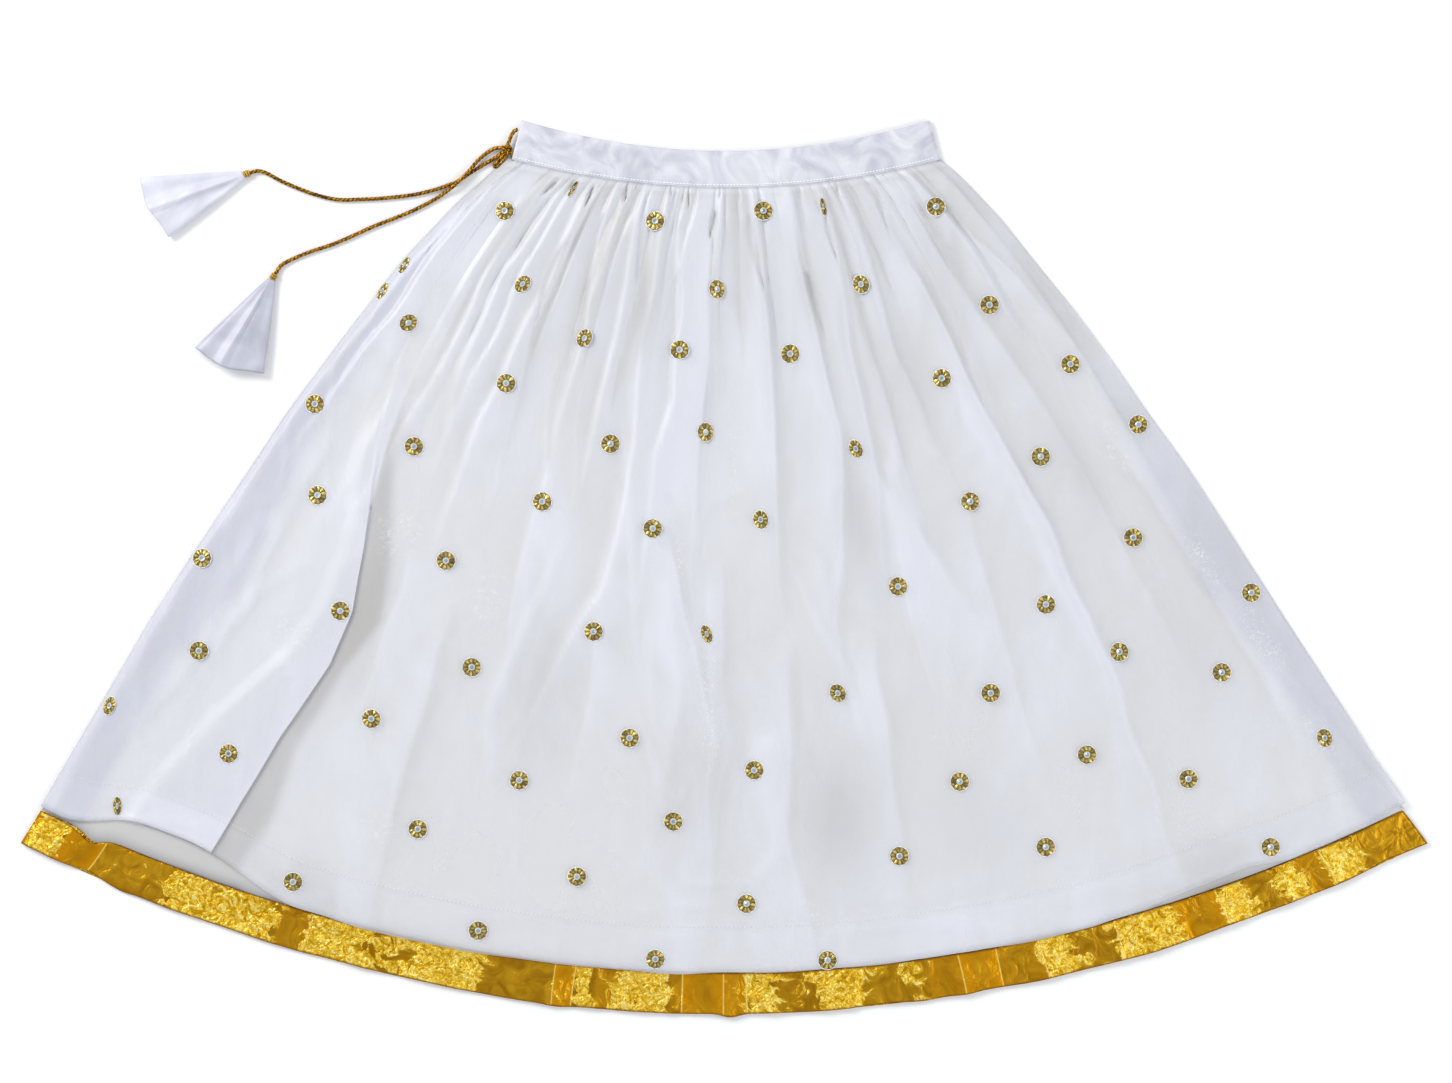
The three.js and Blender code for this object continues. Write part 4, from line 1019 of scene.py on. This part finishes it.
def border_front_grid():
    """Flat facets between crisp creases, how crushed the tissue is, and its painted glow, painted crease
    highlights and painted edge shade.
    """
    starts, crushed, glow, creased, high = np.array(BORDER_STRETCHES, float).T
    creases = (starts[1:, None] + CREASE_HALF * np.array([-2, -1, 0, 1, 2])).ravel()
    columns = np.unique(np.concatenate([np.linspace(-1, 1, BORDER_COLUMNS), creases[np.abs(creases) < 1]]))
    stretch = np.clip(np.searchsorted(starts, columns + 1e-9) - 1, 0, len(starts) - 1)
    away = np.abs(columns[:, None] - starts)
    # painted highlight along the creases that mark a stretch's start
    line = np.clip(1.5 - away.min(1) / CREASE_HALF, 0, 1) * creased[away.argmin(1)]
    facet = np.interp(columns, starts, high)
    # painted orange glow, fading away from the creases
    glow = glow[stretch] * np.exp(-away.min(1) / GLOW_REACH)
    beside = np.exp(-((np.subtract.outer(columns, columns) / STRETCH_BLUR) ** 2))
    crushed = beside @ crushed[stretch] / beside.sum(1)
    rows = []
    for down in np.linspace(BORDER_START + EDGE_SHARE, 1, 18):
        half = float(half_width(down))
        across = columns * (1 - float(at_share(SIDE_ROWS, "inset", down)) / half)
        depth = (down - BORDER_START) / (1 - BORDER_START)
        x, y = across * half + sideways(across, down), row_y(across, down)
        x = x + 1.6 * soft_noise(x + 300, y * 0.4, 22, 36)
        bulge = sum(deep * np.exp(-(((across - place) / wide) ** 2)) for place, wide, deep in BORDER_WAVES)
        y = y + border_edge_dip(across) * (1 - depth) ** 0.7
        y = y + (1.1 * soft_noise(x, x * 0, 40, 31) - bulge) * depth**3
        crush = crease_noise(x, y * 0.7, 16, 32) + 0.6 * crease_noise(x * 0.7 + y, y, 9, 33)
        settle = ease(2 * depth)
        z = mix(UNDER_FRONT, UNDER_BACK, settle) + facet * mix(0.5, 1, settle) + 1.1 * crushed * crush
        # painted shade along the top and bottom edges
        edge_shade = np.full_like(x, 1.0 if depth < 0.035 or depth > 0.985 else 0.0)
        rows.append((np.stack([x, y, z], 1), crushed, glow, line, edge_shade))
    grid, *tints = (np.array(column) for column in zip(*rows))
    return grid, dict(zip(("crushed", "glow", "line", "edge"), tints))


def border_back_grid():
    def height(across, down, half):
        settle = ease(2 * (down - BORDER_START) / (1 - BORDER_START))
        x, y = across * half, row_y(across, down)
        return mix(UNDER_BACK, OVER_BACK, settle) + 0.25 * soft_noise(x, y, 12, 35)

    return flat_panel(np.linspace(BORDER_START + EDGE_SHARE, 1, 8), BORDER_BACK_COLUMNS, height, inset=True)


def waistband_grid():
    """One strip across the front, round the right end and back behind. Its rows run down the band."""
    back = SATIN_THICK / 2 + 0.05
    front = OVER_FRONT + WALL / 2 - SATIN_THICK / 2
    turn = (front - back) / 2
    angle = np.linspace(0, np.pi, 9)[1:-1]
    z_flat = np.concatenate([
        np.full(BAND_COLUMNS, front), back + turn * (1 + np.cos(angle)), np.full(BAND_COLUMNS, back),
    ])
    on_front = np.arange(len(z_flat)) < BAND_COLUMNS
    rows = []
    for down in np.linspace(0, 1 - GAP / BAND_DEPTH, BAND_ROWS):
        half = mix(BAND_TOP_HALF, WAIST_HALF, down)
        flat = np.linspace(-half, half - turn - SATIN_THICK / 2, BAND_COLUMNS)
        x = np.concatenate([flat, flat[-1] + turn * np.sin(angle), flat[::-1]])
        y = TOP_END - BAND_DEPTH * down - mix(BAND_TOP_SAG, WAIST_SAG, down) * (1 - (x / half) ** 2)
        puff = math.sin(math.pi * min(1.0, down / 0.9)) ** 0.5 - 0.9 * max(0, down - 0.95) / 0.05
        groove = -0.6 * math.exp(-(((down - 0.93) / 0.02) ** 2))
        pucker = 0.35 * soft_noise(x + 0.7 * y, y, 17, 41) + 0.5 * crease_noise(x * 0.8 + y, y * 1.4, 30, 42)
        z = z_flat + np.where(on_front, 0.5 * puff + groove + pucker * puff, 0)
        rows.append(np.stack([x, y, z], 1))
    return np.array(rows)


# ---------------------------------------------------------------- drawstring pieces
def bead(name, route, tip):
    """A ribbed gold ferrule between a cord's end and its tassel."""
    end = route[-1]
    centre = np.array([(end[0] + tip[0]) / 2, (end[1] + tip[1]) / 2, BEAD_RADIUS + 0.1])
    axis = np.array([tip[0] - end[0], tip[1] - end[1], 0.0])
    axis /= np.linalg.norm(axis)
    side, up = np.array([-axis[1], axis[0], 0]), np.array([0, 0, 1.0])
    along = np.linspace(-1, 1, 25)[:, None]
    angle = np.linspace(0, 2 * np.pi, 24, endpoint=False)[None, :]
    ribs = np.abs(np.cos(1.5 * np.pi * along)) ** 0.5
    reach = BEAD_RADIUS * mix(0.72, 1.0, ribs) * np.sqrt(np.clip(1.02 - along**6, 0.05, 1)) + 0 * angle
    rings = centre + (
        BEAD_RADIUS * along[..., None] * axis
        + reach[..., None] * (np.cos(angle)[..., None] * side + np.sin(angle)[..., None] * up)
    )
    # the crown tint paints highlights on the ribs and shade between them
    return ring_tube(name, rings, GOLD_BEAD, {"crown": ribs**2 + 0 * angle})


def knot_path():
    """An overhand knot, pulled round and closed on itself."""
    turn = np.linspace(0, 2 * np.pi, 90)
    x = np.sin(turn) + 2 * np.sin(2 * turn)
    y = 1.15 * (np.cos(turn) - 2 * np.cos(2 * turn))
    return np.array(KNOT_AT) + np.stack([x, y, -1.4 * np.sin(3 * turn)], 1)


def tassel_rings(size, skin, shares):
    """Rings of a flattened cone of cloth. Its front is folded over along a line near its middle."""
    tip, left, right = (np.array(size[key], float) for key in ("tip", "left", "right"))
    middle = (left + right) / 2
    along, side = middle - tip, (right - left) / 2
    long, wide = np.linalg.norm(along), np.linalg.norm(side)
    angle = np.linspace(0, 2 * np.pi, TASSEL_SIDES, endpoint=False)
    c, s = np.cos(angle), np.sin(angle)
    rings = []
    for u in shares:
        half = mix(TASSEL_TIP_RADIUS, wide, u**0.94) - skin
        rise = mix(TASSEL_TIP_RADIUS * 0.9, size["high"] / 2, ease(u)) - skin
        bow = size["bow"] * u * (1 - c * c) / long + 0.014 * u * np.sin(4.4 * c + 2)
        xy = tip + np.outer(u + bow, along) + np.outer(half * c, side / wide)
        off = (c - size["fold"]) * half
        crisp = np.where(off > 0, 0.8, 7.0)
        fold = 2.4 * ease(u / 0.3) * np.exp(-((off / crisp) ** 2)) + 0.7 * ease(u / 0.4) * np.sin(7 * c + 1)
        top = 0.85 * (rise + skin) + rise * np.maximum(s, 0) ** 0.6 + fold
        low = 0.85 * (rise + skin) + rise * s
        rings.append(np.column_stack([xy, np.maximum(skin, np.where(s > 0, top, low))]))
    return rings


def tassel(name, size, satin):
    """Wound out to the rim and back inside, as far as the cone is hollow."""
    shares = np.concatenate([[0, 0.02, 0.06, 0.1], np.linspace(0.15, 1, 34)])
    outside = tassel_rings(size, 0.0, shares)
    inside = tassel_rings(size, TASSEL_SKIN, shares[shares > 0.14][::-1])
    rings = np.array(outside + inside)
    return ring_tube(name, rings[:, ::-1], satin)


# ---------------------------------------------------------------- sewn-on flowers and stitches
def petal_ring():
    """Flat wedge-shaped petals in a ring. Each tilts its own way and has a ridge down its middle, with a
    painted highlight along it that is brighter on some petals than others.
    """
    random = np.random.default_rng(5)
    verts, faces, crown = [], [], []
    for p in range(PETALS):
        tilt, shine = random.uniform(-0.35, 0.35), random.uniform(0.4, 1.4)
        first = len(verts)
        for share, reach in ((0.0, 1.0), (0.45, 1.0), (0.85, 0.99), (1.0, 0.8)):
            for v in (-1, 0, 1):
                radius = mix(PETAL_INNER, FLOWER_RADIUS * (1 if v == 0 else 0.945), share)
                angle = 2 * math.pi * p / PETALS + math.pi / PETALS * 0.93 * v * reach
                rise = 0.55 + (0.5 if v == 0 else 0.12) * (1 - share**4) + tilt * v
                verts.append((radius * math.cos(angle), radius * math.sin(angle), rise))
                # crown tint: painted highlight along each petal's ridge, stronger on some petals, weaker at
                # the inner and outer ends
                crown.append(shine * (1.0 if v == 0 else 0.35) * (0.3 if share in (0.0, 1.0) else 1))
        for i in range(3):
            for j in range(2):
                a = first + i * 3 + j
                faces.append((a, a + 3, a + 4, a + 1))
    return verts, faces, crown


def closed_plate(verts, faces, floor):
    """Gives an open plate a flat underside and a rim, so that it is a closed solid."""
    count = len(verts)
    low = [(x, y, floor) for x, y, z in verts]
    edges = dict.fromkeys(edge for face in faces for edge in zip(face, face[1:] + face[:1]))
    rim = [(b, a, a + count, b + count) for a, b in edges if (b, a) not in edges]
    return verts + low, faces + [tuple(i + count for i in reversed(face)) for face in faces] + rim


def spun(profile, sides):
    """Closed solid turned from a profile of radius and height pairs, from its rim to its top."""
    turns = [2 * math.pi * k / sides for k in range(sides)]
    verts = [(r * math.cos(turn), r * math.sin(turn), z) for r, z in profile for turn in turns]
    faces = []
    for ring in range(len(profile) - 1):
        for k in range(sides):
            a, b = ring * sides + k, ring * sides + (k + 1) % sides
            faces.append((a, b, b + sides, a + sides))
    faces.append(tuple(range(sides - 1, -1, -1)))
    faces.append(tuple(len(verts) - sides + k for k in range(sides)))
    return verts, faces


def flower_patterns():
    """The five layers of a flower, from the cloth up: name, mesh, finish and tints."""
    verts, faces, crown = petal_ring()
    solid, solid_faces = closed_plate(verts, faces, 0.2)
    return [
        ("flower_halo", *spun([(7.8, 0.0), (7.7, 0.16), (4.0, 0.2)], 24), HALO, None),
        ("flower_shadow", *spun([(7.0, 0.1), (6.9, 0.38), (2.0, 0.5)], 22), PAINTED_PETAL_SHADOW, None),
        ("flower_petals", solid, solid_faces, PETAL, {"crown": crown + crown}),
        ("flower_setting", *spun([(2.6, 0.2), (2.7, 0.9), (2.1, 1.3), (1.5, 1.2)], 10), STONE_RING, None),
        ("flower_stone", *spun([(1.6, 0.9), (1.5, 1.4), (0.8, 1.8)], 6), STONE, None),
    ]


def finished(tree, instances, material):
    """Turns instances into plain mesh with one material and hands it on as the group's result."""
    real = add(tree, "GeometryNodeRealizeInstances", {"Geometry": instances.outputs[0]})
    done = add(tree, "GeometryNodeSetMaterial", {"Geometry": real.outputs[0], "Material": material})
    add(tree, "NodeGroupOutput", {"Geometry": done.outputs[0]})
    return tree


def scatter_tree():
    """Sets one pattern at each point, turned and sized by the point's own values."""
    tree, given = new_group(
        "sewn_on_each_point", "GeometryNodeTree",
        [("Geometry", "Geometry"), ("Pattern", "Object"), ("Finish", "Material")], [("Geometry", "Geometry")],
    )
    pattern = add(tree, "GeometryNodeObjectInfo", {"Object": given["Pattern"]})
    turn, size = (
        add(tree, "GeometryNodeInputNamedAttribute", {"Name": name}, data_type="FLOAT_VECTOR").outputs[0]
        for name in ("turn", "size")
    )
    flowers = add(tree, "GeometryNodeInstanceOnPoints", {
        "Points": given["Geometry"],
        "Instance": pattern.outputs["Geometry"],
        "Rotation": add(tree, "FunctionNodeEulerToRotation", {0: turn}).outputs[0],
        "Scale": size,
    })
    return finished(tree, flowers, given["Finish"])


def stitch_tree():
    """Sets a row of thread stitches along a line."""
    tree, given = new_group(
        "stitches_along_a_line", "GeometryNodeTree",
        [("Geometry", "Geometry"), ("Spacing", "Float", 0.003), ("Length", "Float", 0.002),
         ("Thickness", "Float", 0.0004), ("Thread", "Material")],
        [("Geometry", "Geometry")],
    )
    line = add(tree, "GeometryNodeMeshToCurve", {"Mesh": given["Geometry"]}).outputs[0]
    spaced_line = {"Curve": line, "Length": given["Spacing"]}
    points = add(tree, "GeometryNodeCurveToPoints", spaced_line, mode="LENGTH")
    ball = add(tree, "GeometryNodeMeshUVSphere", {"Segments": 8, "Rings": 6, "Radius": 0.5})
    thick = given["Thickness"]
    shape = add(tree, "ShaderNodeCombineXYZ", {"X": thick, "Y": thick, "Z": given["Length"]})
    thread = add(tree, "GeometryNodeTransform", {"Geometry": ball.outputs["Mesh"], "Scale": shape.outputs[0]})
    stitches = add(tree, "GeometryNodeInstanceOnPoints", {
        "Points": points.outputs["Points"],
        "Instance": thread.outputs[0],
        "Rotation": points.outputs["Rotation"],
    })
    return finished(tree, stitches, given["Thread"])


def grown(name, carrier, tree, values, smooth=True):
    """Runs a tree on a carrier mesh and keeps the result as a plain mesh."""
    holder = in_scene(name + "_carrier", carrier)
    modifier = holder.modifiers.new("grow", "NODES")
    modifier.node_group = tree
    for item in tree.interface.items_tree:
        if item.item_type == "SOCKET" and item.in_out == "INPUT" and item.name in values:
            modifier[item.identifier] = values[item.name]
    graph = bpy.context.evaluated_depsgraph_get()
    mesh = bpy.data.meshes.new_from_object(holder.evaluated_get(graph))
    mesh.name = name
    mesh.polygons.foreach_set("use_smooth", [smooth] * len(mesh.polygons))
    bpy.data.objects.remove(holder)
    return in_scene(name, mesh)


def stitched(name, points, sizes, thread):
    """A row of stitches along points, with the spacing, length and thickness of each."""
    line = bpy.data.meshes.new("line")
    line.from_pydata((points * MM).tolist(), [(i, i + 1) for i in range(len(points) - 1)], [])
    values = {key: size * MM for key, size in zip(("Spacing", "Length", "Thickness"), sizes)}
    return grown(name, line, STITCHES, {**values, "Thread": thread})


def facing(normal, spin):
    """Turn that sets a flower's face along a normal and spins it in its own plane."""
    base = Vector((0, 0, 1)).rotation_difference(Vector(normal))
    return (base @ Quaternion((0, 0, 1), spin)).to_euler()


def point_mesh(places, turns, sizes):
    mesh = bpy.data.meshes.new("flower_places")
    mesh.from_pydata([tuple(p) for p in places], [], [])
    for label, values in (("turn", turns), ("size", sizes)):
        spot = mesh.attributes.new(label, "FLOAT_VECTOR", "POINT")
        spot.data.foreach_set("vector", np.asarray([tuple(v) for v in values], float).ravel())
    return mesh


def resting_place(tree, x, y):
    """Plane that a flower rests on: the cloth's mean slope under its disc, raised to clear the cloth."""
    around = [(0, 0)]
    around += [(r * math.cos(a), r * math.sin(a)) for r in DISC_RINGS for a in np.arange(0, 6.2, 0.7)]
    spots = []
    for dx, dy in around:
        hit = tree.ray_cast(Vector(((x + dx) * MM, (y + dy) * MM, 0.1)), Vector((0, 0, -1)))[0]
        if hit is not None:
            spots.append((dx * MM, dy * MM, hit.z))
    if len(spots) < 4:
        raise ValueError(f"no cloth under the flower at {x}, {y}")
    spots = np.array(spots)
    plane = np.column_stack([spots[:, :2], np.ones(len(spots))])
    fit, *_ = np.linalg.lstsq(plane, spots[:, 2], rcond=None)
    raised = max(0, min((spots[:, 2] - plane @ fit).max(), MOST_RAISED))
    return Vector((x * MM, y * MM, fit[2] + raised)), Vector((-fit[0], -fit[1], 1)).normalized()


def front_flower_points(front):
    """Sews each flower on to the cloth. One on the flank of a fold shows narrower from above."""
    corners = [vertex.co.copy() for vertex in front.data.vertices]
    tree = BVHTree.FromPolygons(corners, [face.vertices[:] for face in front.data.polygons])
    random = np.random.default_rng(17)
    flat = [(x, y, 1.0, random.uniform(0, 360)) for x, y in FLOWERS]
    places, turns, sizes = [], [], []
    for x, y, shown, bearing in flat + TURNED_FLOWERS:
        spot, normal = resting_place(tree, x, y)
        places.append(spot)
        turns.append(facing(normal, math.radians(bearing)))
        sizes.append((shown, 1, 1))
    return point_mesh(places, turns, sizes)


def back_flower_points():
    """A half-drop lattice on the hidden side, with each flower pressed flat between cloth and surface."""
    random = np.random.default_rng(23)
    places, turns, sizes = [], [], []
    for row, y in enumerate(np.arange(-300, 300, BACK_FLOWER_STEP * 0.62)):
        for x in np.arange(-9, 10) * BACK_FLOWER_STEP + (row % 2) * BACK_FLOWER_STEP / 2:
            downs = np.linspace(0.03, 0.92, 90)
            halves = half_width(downs)
            inside = np.abs(x) < halves - 14
            if not inside.any():
                continue
            gap = np.abs(row_y(x / halves, downs) - y)
            best = int(np.argmin(np.where(inside, gap, 1e9)))
            if gap[best] > 5:
                continue
            places.append((x * MM, y * MM, BACK_FLOWER_HEIGHT * MM))
            turns.append(facing((0, 0, -1), random.uniform(0, 6)))
            sizes.append((1, 1, BACK_FLOWER_PRESSED))
    return point_mesh(places, turns, sizes)


# ---------------------------------------------------------------- build the skirt
front_grid, front_downs, front_tints = overskirt_front()
front = cloth_shell("overskirt_front_cloth", front_grid, ORGANZA_THICK, ORGANZA, front_tints)
panel_downs = np.linspace(EDGE_SHARE, BORDER_START - EDGE_SHARE, PANEL_ROWS)
back_grid = flat_panel(panel_downs, BACK_COLUMNS, back_relief, place_at=pulled_up)
back_height = back_grid[..., 2]
# painted highlight on the back's gathers
back_crest = np.clip((BACK_TOP - back_height) / 0.4, 0.3, 1)
back_tints = {"highlight_and_tone": back_crest, "veil": np.full_like(back_height, VEIL)}
back = cloth_shell("overskirt_back_cloth", back_grid, ORGANZA_THICK, ORGANZA, back_tints)

linings = {}
for side, level, seed in (("front", UNDER_FRONT, 51), ("back", UNDER_BACK, 52)):
    panel = flat_panel(panel_downs, LINING_COLUMNS, underskirt_height(level, seed), inset=True)
    x = panel[..., 0]
    if side == "front":
        near_border = ease((panel_downs - 0.9) / 0.05)[:, None]
        panel[..., 1] += near_border * border_edge_dip(x / half_width(BORDER_START))
    left = 1 - ease((x - BARE_LINING["left_end"]) / BARE_LINING["left_fade"])
    right = np.exp(-(((x - BARE_LINING["right_at"]) / BARE_LINING["right_wide"]) ** 2))
    shade = ease((panel_downs - 0.87) / 0.06)[:, None] * np.maximum(left, right)
    linings[side] = cloth_shell(f"underskirt_{side}_cloth", panel, CREPE_THICK, CREPE, {"shade": shade})

border_grid, border_tints = border_front_grid()
border_front = cloth_shell("border_front_tissue", border_grid, TISSUE_THICK, GOLD_TISSUE, border_tints)
border_back_rows = border_back_grid()
evenly_crushed = {"crushed": np.full(border_back_rows.shape[:2], 0.6)}
border_back = cloth_shell("border_back_tissue", border_back_rows, TISSUE_THICK, GOLD_TISSUE, evenly_crushed)

band_grid = waistband_grid()
band = cloth_shell("waistband_satin", band_grid, SATIN_THICK, BAND_SATIN)

# Stitches: along the band's lower edge, and where the overskirt's hem is turned up.
STITCHES = stitch_tree()
band_line = band_grid[STITCH_ROW, STITCH_COLUMNS] + np.array([0, 0, SATIN_THICK / 2 + 0.3])
band_stitches = stitched("band_stitches", band_line, BAND_STITCH, THREAD)
hem_line = front_grid[int(np.argmax(front_downs >= HEM_TURN_START))] + np.array([0, 0, 0.25])
hem_stitches = stitched("hem_stitches", hem_line, HEM_STITCH, HEM_THREAD)

# Sequin flowers on both sides.
SCATTER = scatter_tree()
flower_pieces = []
for name, verts, faces, finish, tints in flower_patterns():
    pattern = new_object(name + "_pattern", verts, faces, finish, tints)
    for side, points in (("front", front_flower_points(front)), ("back", back_flower_points())):
        values = {"Pattern": pattern, "Finish": finish}
        flower_pieces.append(grown(f"{name}_{side}", points, SCATTER, values, smooth=False))
    bpy.data.objects.remove(pattern)

# Drawstring: two ends tied once beside the band, each with a bead and a tassel.
ROUTES = {"upper": UPPER_ROUTE, "lower": LOWER_ROUTE}
cords = {}
for side, route in ROUTES.items():
    path, length = smooth_route(route, ROUTE_STEP)
    cords[side] = (twisted_cord(f"drawstring_{side}", path, CORD_RADIUS), path, length)
knot = twisted_cord("drawstring_knot", knot_path(), KNOT_CORD_RADIUS, SMALL_PITCH)
loop_path = smooth_route(LOOP_ROUTE, ROUTE_STEP)[0]
loop = twisted_cord("drawstring_loop", loop_path, LOOP_CORD_RADIUS, SMALL_PITCH)
beads = {side: bead(f"bead_{side}_gold", route, TASSELS[side]["tip"]) for side, route in ROUTES.items()}
tassels = {side: tassel(f"tassel_{side}_cloth", size, LIT_AND_SHADED_TASSEL_SATIN[side]) for side, size in TASSELS.items()}

# ---------------------------------------------------------------- each piece, listed with its kind, fixed to the root; the solids it replaces hidden
REPLACED = [
    (front, "organza", ["overskirt_front"]),
    (back, "organza", ["overskirt_back"]),
    (linings["front"], "lining", ["underskirt_front"]),
    (linings["back"], "lining", ["underskirt_back"]),
    (border_front, "gold_tissue", ["border_front"]),
    (border_back, "gold_tissue", ["border_back"]),
    (band, "satin", ["waistband"]),
    (cords["upper"][0], "gold_cord", ["cord_upper"]),
    (cords["lower"][0], "gold_cord", ["cord_lower", "tie_strand"]),
    (knot, "gold_cord", ["knot"]),
    (loop, "gold_cord", ["tie_loop"]),
    (beads["upper"], "gold_bead", ["bead_upper"]),
    (beads["lower"], "gold_bead", ["bead_lower"]),
    (tassels["upper"], "satin", ["tassel_upper"]),
    (tassels["lower"], "satin", ["tassel_lower"]),
]
for obj, slot, nodes in REPLACED:
    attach(obj, "root")
    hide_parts(*nodes)
SEWN_ON = [(band_stitches, "satin"), (hem_stitches, "organza")]
SEWN_ON += [(piece, "gold_bead") for piece in flower_pieces]
for obj, slot in SEWN_ON:
    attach(obj, "root")

# ---------------------------------------------------------------- floor, light and camera
FLOOR_HALF, FLOOR_Z = 6000, -0.4
floor_corners = [(x * FLOOR_HALF, y * FLOOR_HALF, FLOOR_Z) for x, y in ((-1, -1), (1, -1), (1, 1), (-1, 1))]
floor = new_object("floor", floor_corners, [(0, 1, 2, 3)], FLOOR)


def area_light(name, place, size, power, colour):
    """A square light that faces the frame's origin."""
    data = bpy.data.lights.new(name, "AREA")
    data.shape = "SQUARE"
    data.size = size
    data.energy = power
    data.color = colour
    obj = in_scene(name, data)
    obj.location = place
    obj.rotation_euler = (-Vector(place)).to_track_quat("-Z", "Y").to_euler()


area_light("key_softbox", (-2.0, 1.5, 1.9), 1.1, 52, (1.0, 0.99, 0.975))
area_light("fill_softbox", (2.2, -0.6, 2.2), 1.8, 26, (0.95, 0.97, 1.0))
world = bpy.data.worlds.new("studio")
world.use_nodes = True
sky = world.node_tree.nodes["Background"].inputs
sky["Color"].default_value = (0.94, 0.965, 1.0, 1)
sky["Strength"].default_value = 0.68
bpy.context.scene.world = world
bpy.context.scene.view_settings.view_transform = "Standard"

CAMERA_HEIGHT, VIEW_WIDTH, VIEW_CENTRE_Y = 3.0, 1.1326, 0.0199
SENSOR = 36
lens = bpy.data.cameras.new("camera")
lens.sensor_width = SENSOR
lens.lens = SENSOR * CAMERA_HEIGHT / VIEW_WIDTH
camera = in_scene("camera", lens)
camera.location = (0, VIEW_CENTRE_Y, CAMERA_HEIGHT)
bpy.context.scene.camera = camera
